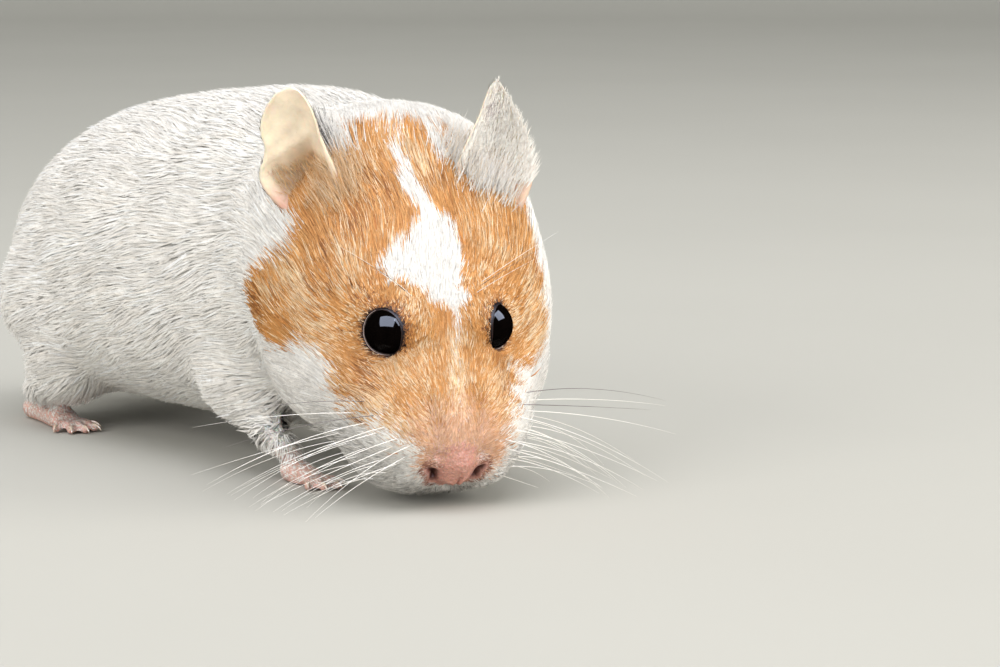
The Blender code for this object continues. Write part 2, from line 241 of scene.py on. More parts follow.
# %% [markdown]
# The coat isn't the same all over. It is a fraction of a millimetre deep on the muzzle, a little more than
# one on the forehead and over three on the back. These functions give that depth, the length and the width
# of a tuft, and the way the hair lies, for any place on the body.

# %% How deep the coat is, and how long and wide its tufts
def coat_depth(points):
    """From the skin up to the tips, mm."""
    nose, eye = nose_distance(points), eye_distance(points)
    head = np.interp(nose, [0, 4, 8, 14, 22, 32, 45], [0, 0.08, 0.4, 0.8, 1.25, 1.9, 2.7])
    crown = ease(to_head(points)[:, 2], 2, 9)
    head = head * (1 - 0.3 * crown)
    head = np.minimum(head + 0.65 * pad_share(points), 0.3 + 0.3 * np.maximum(eye - EYE_RADIUS, 0))
    body = np.interp(points[:, 2], [3, 12, 25], [2.2, 2.9, 3.3])
    depth = blend(body, head, head_share(points))
    foot = np.interp(points[:, 2], [2.5, 4.5, 9], [0.1, 0.45, 1.6])
    depth = blend(depth, np.minimum(depth, foot), leg_share(points))
    return blend(depth, 0.35, tail_share(points))


def tuft_length(points):
    """From root to tip, mm. A tuft lies along the coat, so it is much longer than the coat is deep."""
    nose, eye = nose_distance(points), eye_distance(points)
    head = np.interp(nose, [3, 6, 10, 16, 24, 34, 46], [0.6, 1.1, 1.9, 3.0, 4.0, 5.0, 6.8])
    head = np.minimum(head + 2.5 * pad_share(points), 0.5 + 0.6 * np.maximum(eye - 3.7, 0))
    body = np.interp(points[:, 2], [3, 14, 25], [5.0, 6.5, 7.0])
    length = blend(body, head, head_share(points))
    foot = np.interp(points[:, 2], [1, 3.5, 9], [0.7, 1.2, 4.0])
    length = blend(length, np.minimum(length, foot), leg_share(points))
    low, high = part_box("tail")
    tail_root = np.array([0, low.y, (low.z + high.z) / 2]) / MM
    length = length * (1 - 0.62 * hill(np.linalg.norm(points - tail_root, axis=1), 6.5))
    return blend(length, 2.2, tail_share(points))


def tuft_width(points):
    """A tuft stands for a few hairs: a real one is 0.02 to 0.05 mm, too fine to show or to afford."""
    head = np.interp(nose_distance(points), [3, 10, 24, 46], [0.08, 0.115, 0.155, 0.23])
    width = blend(0.38, head, head_share(points))
    return blend(width, 0.14, np.maximum(leg_share(points), tail_share(points)))


back_of_trunk = np.array([[0, 20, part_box("trunk")[1].z / MM]])
print("on the back the coat is", coat_depth(back_of_trunk).round(1), "mm deep, its tufts",
      tuft_length(back_of_trunk).round(1), "mm long and", tuft_width(back_of_trunk).round(2), "mm wide")


# %% How the hair lies
def coat_lie(points, normals):
    """The way the hair lies along the surface: back from the nose, round the eyes, down the legs."""
    local = to_head(points)
    head = unit(local - (NOSE_TIP + np.array([0, 3.5, -1.5])))
    for side in (1, -1):
        away = local - EYE_PLACE * np.array([side, 1, 1])
        gap = np.linalg.norm(away, axis=1, keepdims=True)
        head = head + 1.1 * np.exp(-np.maximum(gap - EYE_RADIUS, 0) / 2.2) * away / gap
    head = head @ HEAD_AXES.T
    head[:, 2] -= 0.35 * ease(-local[:, 2], 0, 10)
    body = np.zeros_like(points)
    body[:, 1] = 1
    body[:, 2] = -0.32 * (1 - abs(normals[:, 2])) - 0.9 * ease(points[:, 1], 38, 60)
    down = np.where(points[:, 2:] > 3.3, np.array([[0, 0.25, -1]]), np.array([[0, -1, -0.35]]))
    arrows = blend(unit(body), unit(head), head_share(points)[:, None])
    arrows = blend(arrows, down, leg_share(points)[:, None])
    arrows = blend(arrows, np.array([[0, 0.8, -0.6]]), tail_share(points)[:, None])
    return flat_arrows(arrows, normals)


print("on the back it lies along", coat_lie(back_of_trunk, np.array([[0, 0, 1.0]])).round(2))


# %% [markdown]
# ## The skin
#
# On the real animal one skin covers everything. The CAD is parted into head, neck, trunk and limbs by thin
# cuts, so the flesh is copied, swollen by a hair's breadth to close the cuts, and made one with Blender's
# voxel remesh. Then it sinks by the depth of the coat, so that the tips of the coat will lie where the CAD is.
# A subdivision surface could not do this, because the pieces have no edges in common.

# %% Join the flesh into one body
VOXEL, SWELL = 0.36, 0.21       # mm
BARE_NODES = ("ear_left", "ear_right", "eye_left", "eye_right")
flesh_nodes = [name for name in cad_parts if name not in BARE_NODES]


def mesh_of(name, work):
    """The bmesh as a smooth mesh."""
    mesh = bpy.data.meshes.new(name)
    work.to_mesh(mesh)
    work.free()
    mesh.shade_smooth()
    return mesh


def swollen(target, node, by):
    """Adds a copy of the node's mesh to target, pushed outwards."""
    copy = bmesh.new()
    copy.from_mesh(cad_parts[node].data)
    bmesh.ops.remove_doubles(copy, verts=copy.verts, dist=1e-6)
    copy.normal_update()
    for v in copy.verts:
        v.co += v.normal * by * MM
    mesh = mesh_of("copy", copy)
    target.from_mesh(mesh)
    bpy.data.meshes.remove(mesh)


def new_object(name, data):
    made = bpy.data.objects.new(name, data)
    bpy.context.scene.collection.objects.link(made)
    return made


def applied(piece):
    """The piece with its modifiers made part of its mesh."""
    bpy.context.view_layer.update()
    seen = piece.evaluated_get(bpy.context.evaluated_depsgraph_get())
    mesh = bpy.data.meshes.new_from_object(seen)
    piece.modifiers.clear()
    piece.data = mesh
    return piece


gathered = bmesh.new()
for name in flesh_nodes:
    swollen(gathered, name, SWELL)
for node in ("eye_left", "eye_right"):
    place = Matrix.Translation(middle(node))
    bmesh.ops.create_icosphere(gathered, subdivisions=4, radius=EYE_RADIUS * MM, matrix=place)
skin = new_object("skin", mesh_of("skin", gathered))
remesh = skin.modifiers.new("one_body", "REMESH")
remesh.mode = "VOXEL"
remesh.voxel_size = VOXEL * MM
applied(skin)
print("the joined flesh has", len(skin.data.polygons), "faces", clock())


# %% [markdown]
# The CAD's facets are a few millimetres wide. Relaxing moves every point towards the middle of its
# neighbours. The trunk gets many rounds of it, the face a few, and the toes hardly any, or they would melt.

# %% Relax and sink the skin
SKIN_TRIANGLES = 120000


def read(items, name, width, kind=np.float32):
    """One property of all a mesh's points, edges or triangles, as an array with a row for each."""
    out = np.empty(len(items) * width, kind)
    items.foreach_get(name, out)
    return out.reshape(-1, width)


def mesh_arrays(mesh):
    return read(mesh.vertices, "co", 3).astype(float) / MM, read(mesh.edges, "vertices", 2, np.int32)


def write_points(mesh, verts):
    mesh.vertices.foreach_set("co", (verts * MM).astype(np.float32).ravel())
    mesh.update()


def normals_of(mesh):
    return read(mesh.vertex_normals, "vector", 3).astype(float)


def relaxed(verts, edges, weight, rounds):
    """Every point moved by its weight towards the mean of its neighbours, again and again."""
    a, b = edges[:, 0], edges[:, 1]
    n = len(verts)
    count = np.bincount(a, minlength=n) + np.bincount(b, minlength=n)
    for _ in range(rounds):
        sums = [np.bincount(a, verts[b, k], n) + np.bincount(b, verts[a, k], n) for k in range(3)]
        verts = verts + weight[:, None] * (np.stack(sums, 1) / count[:, None] - verts)
    return verts


verts, edges = mesh_arrays(skin.data)
small, face = toe_share(verts), head_share(verts)
verts = relaxed(verts, edges, 0.5 - 0.42 * small, 7)
verts = relaxed(verts, edges, 0.5 * (1 - small) * (1 - 0.75 * face), 60)
write_points(skin.data, verts)
thin = skin.modifiers.new("thin", "DECIMATE")
thin.ratio = SKIN_TRIANGLES / (2 * len(skin.data.polygons))
applied(skin)
verts, edges = mesh_arrays(skin.data)
verts = verts - normals_of(skin.data) * (coat_depth(verts) + SWELL)[:, None]
verts = relaxed(verts, edges, 0.4 * (1 - toe_share(verts)), 3)
write_points(skin.data, verts)
print("the skin has", len(skin.data.polygons), "faces", clock())


# %% [markdown]
# ## Nose and mouth
#
# The bare nose pad, the comma-shaped nostrils, the groove below them and the mouth are folds of about a
# millimetre. Sculpting tools would need a hand, so each fold is a short line in the head's frame, and the
# skin sinks near it as a trough does. A negative depth raises a ridge.

# %% The folds of the nose and the mouth
FOLDS = [  # half width mm, depth mm, and the line it follows in the head's frame
    (0.42, 1.15, [(3.20, -37.3, -4.9), (3.00, -37.2, -6.4)]),                   # nostril
    (0.30, 0.40, [(3.30, -36.9, -4.8), (4.0, -36.5, -4.5)]),                    # its slit to the side
    (1.65, -1.50, [(0, -37.2, -3.2), (0, -37.7, -5.7)]),                        # nose pad
    (0.75, -0.32, [(4.5, -36.2, -5.0), (4.2, -36.4, -6.6)]),                    # wing beside the nostril
    (0.30, 0.42, [(0, -38.2, -4.4), (0, -37.9, -6.0), (0, -36.6, -8.0)]),       # groove of the pad
    (0.50, 0.80, [(0, -36.8, -7.6), (0, -35.4, -10.0)]),                        # cleft of the upper lip
    (0.55, 0.95, [(0, -35.4, -10.0), (2.6, -34.3, -10.9),                       # mouth
                  (5.6, -31.0, -11.6), (7.2, -26.0, -11.6)]),
    (1.70, -0.45, [(0, -36.6, -1.5), (0, -34.5, 1.0), (0, -31.0, 3.5)]),        # bridge of the nose
    (1.10, 0.80, [(3.2, -36.3, -2.2), (3.4, -34.2, 0.3), (3.6, -31.0, 2.4)]),   # trough beside the bridge
    (2.90, -1.00, [(5.2, -34.4, -8.0), (8.0, -31.0, -7.6)]),                    # whisker pad
]
NOSE_PAD = [(0, -37.2, -2.2), (0, -37.6, -6.2)]
NOSTRIL = [(3.7, 0, -4.6), (3.25, 0, -4.9), (3.0, 0, -6.4)]


def line_distance(points, line):
    """The shortest way from each point to a line of straight stretches."""
    best = np.full(len(points), np.inf)
    for start, end in zip(np.array(line[:-1]), np.array(line[1:])):
        along = end - start
        t = np.clip((points - start) @ along / (along @ along), 0, 1)
        best = np.minimum(best, np.linalg.norm(points - start - t[:, None] * along, axis=1))
    return best


def pad_distance(points):
    """From the middle line of the bare nose pad, mm."""
    return line_distance(to_head(points), NOSE_PAD)


def nostril_distance(points):
    """Seen from the front, the way to the nearer nostril, mm; large away from the nose."""
    seen = folded(points) * np.array([1, 0, 1])
    return line_distance(seen, NOSTRIL) + 10 * ease(nose_distance(points), 5, 8)


def fold_depth(points):
    """How far each point sinks, mm. The folds are given for the left side and for the middle."""
    total = np.zeros(len(points))
    for wide, deep, line in FOLDS:
        shallow = np.array([1, 0.3 if wide < 0.6 else 1, 1])
        total += deep * hill(line_distance(folded(points) * shallow, np.array(line) * shallow), wide)
    return total


print(len(FOLDS), "folds, the deepest", max(deep for _, deep, _ in FOLDS), "mm")


# %% [markdown]
# The folds are finer than the skin's triangles, so those near the nose and the eyes are split twice before
# anything moves. Subdividing the whole skin as much would cost two million triangles. The nose pad also gets
# tiny pebbles, as on the real animal.

# %% Split and fold the skin
work = bmesh.new()
work.from_mesh(skin.data)
for reach, eye_reach in ((11.0, 7.5), (7.0, 5.0)):
    work.verts.ensure_lookup_table()
    places = np.array([v.co for v in work.verts]) / MM
    near = (nose_distance(places) < reach) | (eye_distance(places) < eye_reach)
    chosen = [e for e in work.edges if near[e.verts[0].index] and near[e.verts[1].index]]
    bmesh.ops.subdivide_edges(work, edges=chosen, cuts=1, smooth=0.6)
    bmesh.ops.triangulate(work, faces=[f for f in work.faces if len(f.verts) > 3])
    work.verts.index_update()
work.to_mesh(skin.data)
work.free()
verts, edges = mesh_arrays(skin.data)
pebbles = 0.045 * ripple(verts, 0.5, 41) * (1 - ease(pad_distance(verts), 2.2, 3.2))
verts = verts - normals_of(skin.data) * (fold_depth(verts) + pebbles)[:, None]
write_points(skin.data, verts)
print("with the fine face the skin has", len(skin.data.polygons), "faces")


# %% [markdown]
# ## Ears
#
# A hamster's ear is a bare, thin cup that shows light through it. The right one stands open, with a nick in its
# rim where it folds; the left one is turned away, and shows its edge and a pointed tip. Each is a sheet swept
# up the ear: a row of the table gives its height, how far its two edges reach, and how much they curl forward.
# The sheet gets its thickness in the same step, from 1.1 mm at the root to 0.24 mm at the rim. A flat sheet
# with a solidify modifier would be as thick everywhere.

# %% The ears' rows
# the ear's root, the way up it and the way its cup faces, in the head's frame; then rows of height, reach of
# the inner and the outer edge, and curl, mm
LEFT_EAR_AXES = ((12.0, 2.8, 9.5), (-0.02, 0.50, 0.86), (0.25, -0.88, 0.40))
RIGHT_EAR_AXES = ((-12.2, 2.8, 9.5), (-0.42, 0.42, 0.80), (-0.50, -0.84, 0.20))
LEFT_EAR = [
    (-8.0, 2.6, 1.6, 3.0), (-3.5, 4.8, 3.6, 4.4), (0.0, 6.2, 5.0, 4.4), (3.5, 6.0, 5.1, 3.6),
    (7.0, 4.5, 4.2, 2.6), (10.0, 2.8, 3.0, 1.6), (12.5, 1.6, 1.7, 0.8), (13.9, 0.8, 0.8, 0.35),
    (14.4, 0.2, 0.2, 0.1),
]
RIGHT_EAR = [
    (-8.0, 1.6, 1.2, 3.0), (-3.5, 2.2, 4.0, 4.4), (0.5, 2.3, 6.9, 4.2), (4.0, 2.2, 8.1, 3.0),
    (6.9, 2.3, 6.6, 2.0), (8.2, 2.3, 6.0, 1.8), (10.5, 2.5, 5.9, 1.4), (13.2, 2.3, 4.6, 0.8),
    (14.8, 1.7, 3.1, 0.4), (15.6, 1.0, 1.8, 0.2), (15.95, 0.3, 0.5, 0.05),
]
EARS = {  # the ear's axes, its rows, and its crease: height, slope across, and how much its inner edge curls
    "left": (LEFT_EAR_AXES, LEFT_EAR, (30.0, 0.0, 0.0)),
    "right": (RIGHT_EAR_AXES, RIGHT_EAR, (8.2, -2.0, 0.7)),
}
print("ears of", len(LEFT_EAR), "and", len(RIGHT_EAR), "rows")


# %% Bend the sheets
EAR_ROWS, EAR_STEPS = 46, 40


def smooth_rows(rows, count):
    """The rows resampled evenly along cubics that pass through every given row."""
    table = np.array(rows, float)
    slope = np.gradient(table, table[:, 0], axis=0)
    at = np.linspace(table[0, 0], table[-1, 0], count)
    low = np.clip(np.searchsorted(table[:, 0], at, side="right") - 1, 0, len(table) - 2)
    step = (table[low + 1, 0] - table[low, 0])[:, None]
    t = (at - table[low, 0])[:, None] / step
    start, end = (2 * t**3 - 3 * t**2 + 1) * table[low], (3 * t**2 - 2 * t**3) * table[low + 1]
    return start + (t**3 - 2 * t**2 + t) * step * slope[low] + end + (t**3 - t**2) * step * slope[low + 1]


def ear_sheet(axes, rows, fold):
    """Points, heights and places across for the middle of an ear's sheet, as rows by steps."""
    root, up, facing = (np.array(v, float) for v in axes)
    up = unit(up)
    facing = unit(facing - up * (facing @ up))
    outward = np.cross(facing, up)
    if outward[0] * root[0] < 0:
        outward = -outward
    table = smooth_rows(rows, EAR_ROWS)
    u = np.linspace(-1, 1, EAR_STEPS)
    height, inner, outer, curl = (table[:, k:k + 1] for k in range(4))
    reach = u * np.where(u > 0, outer, inner)
    crease_at, crease_slope, inner_curl = fold
    forward = curl * (u * u - 0.35) * np.where(u < 0, 0.3 + inner_curl * ease(height, 3, 9), 1)
    forward = forward + 0.5 * ease(abs(u), 0.78, 1.0) * ease(inner + outer, 2, 8)
    forward = forward + 0.42 * hill(height - crease_at - crease_slope * u, 0.8) * ease(u, -0.5, 0.3)
    forward = forward - 0.9 * hill(height - 2.5, 2.6) * hill(u - 0.15, 0.45)
    points = root + height[..., None] * up + reach[..., None] * outward + forward[..., None] * facing
    return points, np.broadcast_to(height, reach.shape), np.broadcast_to(u, reach.shape)


# %% Close the ears
def quads(grid):
    """Faces between the neighbouring rows and columns of a grid of vertex numbers."""
    return np.stack([grid[:-1, :-1], grid[:-1, 1:], grid[1:, 1:], grid[1:, :-1]], -1).reshape(-1, 4)


def ear_mesh(axes, rows, fold):
    """A closed ear: vertices in mm of the body's frame, faces, and each vertex's height and place across."""
    points, height, u = ear_sheet(axes, rows, fold)
    d_row, d_step = np.gradient(points, axis=0), np.gradient(points, axis=1)
    normal = unit(np.cross(d_step, d_row))
    thick = 0.12 + 0.34 * (1 - ease(height, -2, 12)) + 0.10 * (1 - abs(u) ** 4)
    verts = np.concatenate([(points + side * normal * thick[..., None]).reshape(-1, 3) for side in (1, -1)])
    n, m = height.shape
    grid = np.arange(n * m).reshape(n, m)
    front = quads(grid)
    around = np.concatenate([grid[0], grid[1:, -1], grid[-1, -2::-1], grid[-2:0:-1, 0]])
    ahead = np.roll(around, -1)
    rim = np.stack([around, around + n * m, ahead + n * m, ahead], -1)
    faces = np.concatenate([front, front[:, ::-1] + n * m, rim])
    return from_head(verts), faces, np.tile(height.ravel(), 2), np.tile(u.ravel(), 2)


ears = {word: ear_mesh(*given) for word, given in EARS.items()}
for word, (points, *_) in ears.items():
    low, high = (tuple(round(v / MM, 1) for v in corner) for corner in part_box("ear_" + word))
    print(word, "ear from", points.min(0).round(1), "to", points.max(0).round(1), "in the CAD", low, high)


# %% [markdown]
# ## Eyelids
#
# A hamster's eye bulges, and the lids show only as a narrow dark rim that hugs the ball. Each is a closed ring
# swept round the eye's opening. The opening is a little taller than wide, with a slight corner towards
# the nose, so the ring's half-angle at the ball's middle changes on the way round.

# %% The lids' opening
LID_AIM = unit(np.array([0.72, -0.40, 0.57]))       # where the left eye looks, in the head's frame


def lid_axes(side):
    """The eye's middle, where it looks, up along the lids, and forward to the inner corner."""
    flip = np.array([side, 1, 1])
    aim = LID_AIM * flip
    nose_side = unit(NOSE_TIP - EYE_PLACE * flip)
    forward = unit(nose_side - aim * (nose_side @ aim))
    return EYE_PLACE * flip, aim, unit(np.cross(aim, forward)) * side, forward


def opening(turn):
    """The half-angle of the lids' opening in degrees: 0 is the corner towards the nose, 90 the outer side."""
    wide = 60.5 + 6.0 * np.sin(turn) + 3.5 * np.cos(turn) + np.cos(2 * turn)
    return wide + 11.0 * hill(np.angle(np.exp(1j * turn)), 0.45)


def seen_by_eye(local, side):
    """How an eye sees points in the head's frame: the arrow to each, how high it is along the eye's look, how
    far to the side, and the half-angle of the opening there, in radians."""
    centre, aim, upward, forward = lid_axes(side)
    away = local - centre
    height = away @ aim
    flat = away - height[:, None] * aim
    open_at = np.radians(opening(np.arctan2(flat @ upward, flat @ forward)))
    return away, height, np.linalg.norm(flat, axis=1), open_at


def beside_lid(side, turn, out, rise):
    """Places round an eye, that many degrees outside the lids' opening and mm above the ball."""
    centre, aim, upward, forward = lid_axes(side)
    around = np.cos(turn)[:, None] * forward + np.sin(turn)[:, None] * upward
    angle = np.radians(opening(turn) + out)[:, None]
    return centre + (EYE_RADIUS + rise) * (np.cos(angle) * aim + np.sin(angle) * around)


def lid_gap(points):
    """How far each point lies outside the nearer lid's edge, mm; large away from the eyes."""
    local = to_head(points)
    gap = np.full(len(points), 9.0)
    for side in (1, -1):
        away, height, out, open_at = seen_by_eye(local, side)
        past = out - EYE_RADIUS * np.sin(open_at)
        gap = np.where((height > -2) & (abs(away[:, 0]) < 8), np.minimum(gap, past), gap)
    return gap


print("the opening's half-angles, degrees:", opening(np.radians([0, 90, 180, 270])).round(1))


# %% Sweep the eyelids
LID_STEPS = 96
LID_PROFILE = [  # degrees outside the opening, mm above the ball
    (0.0, 0.02), (0.8, 0.10), (3.5, 0.16), (8.0, 0.15), (14.0, 0.0), (20.0, -0.25), (26.0, -0.8),
    (14.0, -0.8), (3.0, -0.4),
]


def lid_ring(side):
    """Points and faces of one eye's lids."""
    turn = np.linspace(0, 2 * np.pi, LID_STEPS, endpoint=False)
    points = np.stack([beside_lid(side, turn, out, rise) for out, rise in LID_PROFILE], 1)
    grid = np.arange(points[..., 0].size).reshape(points.shape[:2])
    faces = quads(np.pad(grid, ((0, 1), (0, 1)), "wrap").T)
    return from_head(points.reshape(-1, 3)), faces if side < 0 else faces[:, ::-1]


lids = {"left": lid_ring(1), "right": lid_ring(-1)}
print("each lid has", len(lids["left"][1]), "faces")


# %% [markdown]
# The skin of the head has to meet the lids without a step, whatever the CAD's facets did there. So it is moved
# along the eye's look till it lies just under the lids' edge, and then relaxed, twice over. Boolean cuts would
# leave a hard seam.

# %% Fit the skin to the eyes
def around_the_eyes(points):
    """The skin fitted to the balls: just under the lids' edge, and from there within a shallow bowl and a low
    cone. Also how much each point lies in the band round the lids."""
    local = to_head(points)
    near = np.zeros(len(points))
    for side in (1, -1):
        away, height, out, open_at = seen_by_eye(local, side)
        past = out - EYE_RADIUS * np.sin(open_at)
        edge = EYE_RADIUS * np.cos(open_at) - 0.22
        beyond = np.maximum(past, 0)
        highest = edge + 0.12 * beyond + 0.035 * beyond**2
        lowest = edge - 0.55 * beyond - 0.03 * beyond**2
        fitted = np.clip(height, lowest, highest)
        inner = np.sqrt(np.maximum((EYE_RADIUS - 0.6) ** 2 - out**2, 0))
        fitted = np.where(past < -0.25, np.minimum(height, np.minimum(inner, edge)), fitted)
        use = (height > -2.5) & (out < 12) & (abs(away[:, 0]) < 12)
        use = use & ((fitted < height) | (past < 4.0))
        fade = 1 - ease(past, 3.0, 4.5) * (fitted > height)
        change = np.where(use, (fitted - height) * fade, 0)
        local += change[:, None] * lid_axes(side)[1]
        near = np.maximum(near, ease(past, 0.1, 0.8) * (1 - ease(past, 5, 8)) * (height > -3))
    return from_head(local), near


verts, edges = mesh_arrays(skin.data)
for _ in range(2):
    verts, near = around_the_eyes(verts)
    verts = relaxed(verts, edges, 0.5 * near, 4)
write_points(skin.data, around_the_eyes(verts)[0])
print("fitted", int((near > 0).sum()), "points round the eyes")


# %% [markdown]
# Ears and lids become part of the skin, so that one skin covers the whole animal. Their points come after the
# body's, ears first, which is how hair and colours tell them apart later. The hair grows from the body's.

# %% Add ears and lids to the skin
bare_count = len(skin.data.vertices)
work = bmesh.new()
work.from_mesh(skin.data)
for points, faces in [ears["left"][:2], ears["right"][:2], lids["left"], lids["right"]]:
    made = [work.verts.new(Vector(p) * MM) for p in points]
    fresh = [work.faces.new([made[k] for k in face]) for face in faces]
    bmesh.ops.recalc_face_normals(work, faces=fresh)
work.to_mesh(skin.data)
work.free()
skin.data.shade_smooth()
bare_points, bare_normals = mesh_arrays(skin.data)[0][:bare_count], normals_of(skin.data)[:bare_count]
print("the whole skin has", len(skin.data.polygons), "faces", clock())


# %% [markdown]
# ## Markings
#
# The coat is white, with an orange face and crown. A white blaze widens on the forehead and comes to
# a point between the eyes, and a small white fleck lies beside it. The markings are drawn as outlines
# on a round map of the head, in degrees, as a globe is mapped around its pole: the first number goes to the
# hamster's left, the second towards the crown, and the middle is the forehead. Skin and hair both ask this map
# for their colour, so the markings agree.

# %% The map of the head
MAP_MIDDLE = np.array([0.0, -6.0, -5.0])
MAP_POLE, MAP_LEFT, MAP_CROWN = np.array([0, -0.6, 0.8]), np.array([1.0, 0, 0]), np.array([0, 0.8, 0.6])
ORANGE_FACE = [
    (-27, 79), (-9, 80), (9, 77), (22, 75), (28, 68), (30, 61), (38, 54), (50, 49), (62, 44), (66, 31),
    (68, 16), (67, 1), (66, -11), (66, -23), (59, -32), (46, -35), (34, -36), (25, -38), (20, -42), (16, -47),
    (12, -54), (-10, -52), (-14, -48), (-19, -44), (-28, -43), (-39, -45), (-45, -39), (-48, -32), (-55, -27),
    (-62, -24), (-68, -27), (-77, -26), (-88, -20), (-103, -9), (-98, 5), (-91, 17), (-78, 22), (-67, 27),
    (-64, 37), (-65, 48), (-61, 60), (-52, 69), (-40, 75),
]
BLAZE = [
    (-11, 70), (-7, 70), (-4, 61), (-1, 52), (3, 45), (11, 35), (13.5, 22), (12, 7), (8, -7), (5, -15),
    (0, -10), (-7, -4), (-16, 3), (-23, 5), (-29, 9), (-29, 15), (-20, 20), (-11, 28), (-5, 36), (-6, 47),
    (-8, 58),
]
FLECK = [(12, 75), (17, 74), (19, 64), (15, 60), (12, 65)]
NOSE_STREAK = [(4, -20), (2, -30), (-1, -36)]
BROWNER = [  # left, crown, radius in degrees, how strong
    (-39, -1, 10, 0.5), (-76, -4, 8, 0.4), (-90, -3, 8, 0.75), (-28, 42, 7, 0.45), (-37, -33, 6, 0.5),
    (-33, -36, 8, 0.9), (21, -35, 6, 1.0), (-17, -21, 4, 0.6), (10, 55, 8, 0.5), (-39, 32, 12, 0.35),
    (28, -20, 4, 0.4), (-20, 54, 9, 0.3), (-60, 12, 12, 0.4), (24, 66, 6, 0.4),
]
PALER = [  # the same, for peach and cream
    (-21, -30, 8, 0.4), (-25, -41, 8, 0.6), (-15, -43, 8, 0.5), (-9, -28, 7, 0.4), (-13, -3, 8, 0.35),
    (18, -8, 6, 0.3), (57, -10, 12, 0.6), (57, -25, 12, 0.8), (-47, -14, 6, 0.35), (-54, -26, 9, 0.45),
    (16, -38, 7, 0.5), (-36, 22, 10, 0.25), (65, 25, 8, 0.5), (40, 50, 10, 0.6), (-44, 8, 9, 0.3),
    (-72, 10, 11, 0.6), (-26, 44, 7, 0.25), (-61, -4, 10, 0.65), (-54, -15, 8, 0.55), (33, 22, 9, 0.6),
    (3, 63, 7, 0.6), (41, -19, 9, 0.7), (-14, 68, 6, 0.45),
]


print("outlines with", len(ORANGE_FACE), len(BLAZE), "and", len(FLECK), "corners")


# %% Read the map
def on_map(local):
    """Places in the head's frame as degrees left and towards the crown."""
    arrow = unit(local - MAP_MIDDLE)
    away = np.degrees(np.arccos(np.clip(arrow @ MAP_POLE, -1, 1)))
    left, crown = arrow @ MAP_LEFT, arrow @ MAP_CROWN
    return (away / np.maximum(np.hypot(left, crown), 1e-6))[:, None] * np.stack([left, crown], 1)


def inside(places, outline):
    """Degrees inside the closed outline, or minus the degrees outside it."""
    corners = np.array(outline, float)
    within = np.zeros(len(places), bool)
    for start, end in zip(corners, np.roll(corners, -1, axis=0)):
        crosses = (start[1] > places[:, 1]) != (end[1] > places[:, 1])
        with np.errstate(divide="ignore", invalid="ignore"):
            at = start[0] + (places[:, 1] - start[1]) * (end[0] - start[0]) / (end[1] - start[1])
        within ^= crosses & (places[:, 0] < at)
    away = line_distance(places, [*outline, outline[0]])
    return np.where(within, away, -away)


def spots(places, table):
    """The strongest of a list of soft round spots at each place."""
    best = np.zeros(len(places))
    for left, crown, radius, much in table:
        best = np.maximum(best, much * hill(np.hypot(places[:, 0] - left, places[:, 1] - crown), radius))
    return best


def markings(points):
    """How orange, brown, pale and near the muzzle each place is, from 0 to 1."""
    local = to_head(points)
    places = on_map(local) + 1.6 * np.stack([ripple(points, 3.0, 11), ripple(points, 3.0, 12)], 1)
    orange = ease(inside(places, ORANGE_FACE), -6.5, 8.0)
    orange = orange * (1 - ease(inside(places, BLAZE), -4.5, 3.2))
    orange = orange * (1 - 0.95 * ease(inside(places, FLECK), -1.5, 1.0))
    streak = line_distance(places, NOSE_STREAK)
    orange = orange * (1 - 0.22 * hill(streak, 3.2)) * ease(head_share(points), 0.02, 0.25)
    cheek_spot = np.linalg.norm(local - np.array([-21.5, 14.0, -4.0]), axis=1)
    orange = np.maximum(orange, 0.35 * hill(cheek_spot, 2.6))
    brown = np.clip(spots(places, BROWNER) + 0.25 * ripple(points, 5.0, 13), 0, 1)
    brown = np.maximum(brown, 0.9 * (1 - ease(eye_distance(points), 3.6, 4.8)))
    pale = np.clip(0.14 + spots(places, PALER) + 0.14 * ripple(points, 4.0, 14), 0, 1)
    pale = np.maximum(pale, 0.90 * hill(streak, 4.5))
    muzzle = 1 - ease(nose_distance(points), 5.5, 12)
    return orange, brown, pale, muzzle


print("markings: orange on", round(float(markings(bare_points)[0].mean()), 2), "of the skin's points")


# %% [markdown]
# A single hair isn't the colour of its patch. Orange fur mixes pale peach, orange and a few brown hairs,
# and white fur mixes clean and creamy ones. So the mix is drawn at random for each tuft, and the patch only
# sets the odds. A tuft mostly takes one colour of its list: a plain mean would look dead. Along the lids the
# hair is dark brown. Round the nostrils the hair is painted dark brown as shade, and white tufts low on the
# head are painted darker at random, as shade between the strands. The skin under the coat takes the plain
# mean, a little darker.

# %% Colours of hair and skin
def tones(*codes):
    return [linear(code) for code in codes]


WHITE_HAIR = tones("#FAF8F5", "#F5F1EB", "#EAE4DB")
ORANGE_HAIR = tones("#E0AB71", "#CE9051", "#B8773A")
PALE_HAIR = tones("#F2DEC2", "#EAC89E", "#E0B581")
BROWN_HAIR = tones("#B9773F", "#9C663A", "#7A5132")
MUZZLE_HAIR = tones("#EBC8AC", "#DDAC88", "#C98D69")
NOSTRIL_SHADE_HAIR = tones("#B98A77", "#8E6151", "#6E4539")
LASH_HAIR = tones("#3A2A22", "#5E4232", "#7E5A42")
DARK_HAIR = tones("#4A4541", "#6A6460", "#38332F", "#8A8583")
ORANGE_SKIN, BROWN_SKIN, WHITE_SKIN = tones("#C98A50", "#7A4E30", "#F8F4ED")
BARE_SKIN, NOSE_SKIN, LID_SKIN = tones("#E6B9AB", "#CF9A8A", "#1C1412")


def mixed(first, second, share):
    """From the first colour at 0 to the second at 1, for each of many points."""
    return blend(np.asarray(first), np.asarray(second), share[:, None])


print("white hair from", np.round(WHITE_HAIR[0], 2), "to", np.round(WHITE_HAIR[-1], 2), "linear")


# %% Draw a colour for every tuft
def drawn(colours, rng, count):
    """A random mix of a short list of colours for each of count tufts, mostly close to one of them."""
    share = rng.dirichlet(np.full(len(colours), 0.9 if len(colours) < 4 else 0.25), count)
    return share @ np.array(colours)


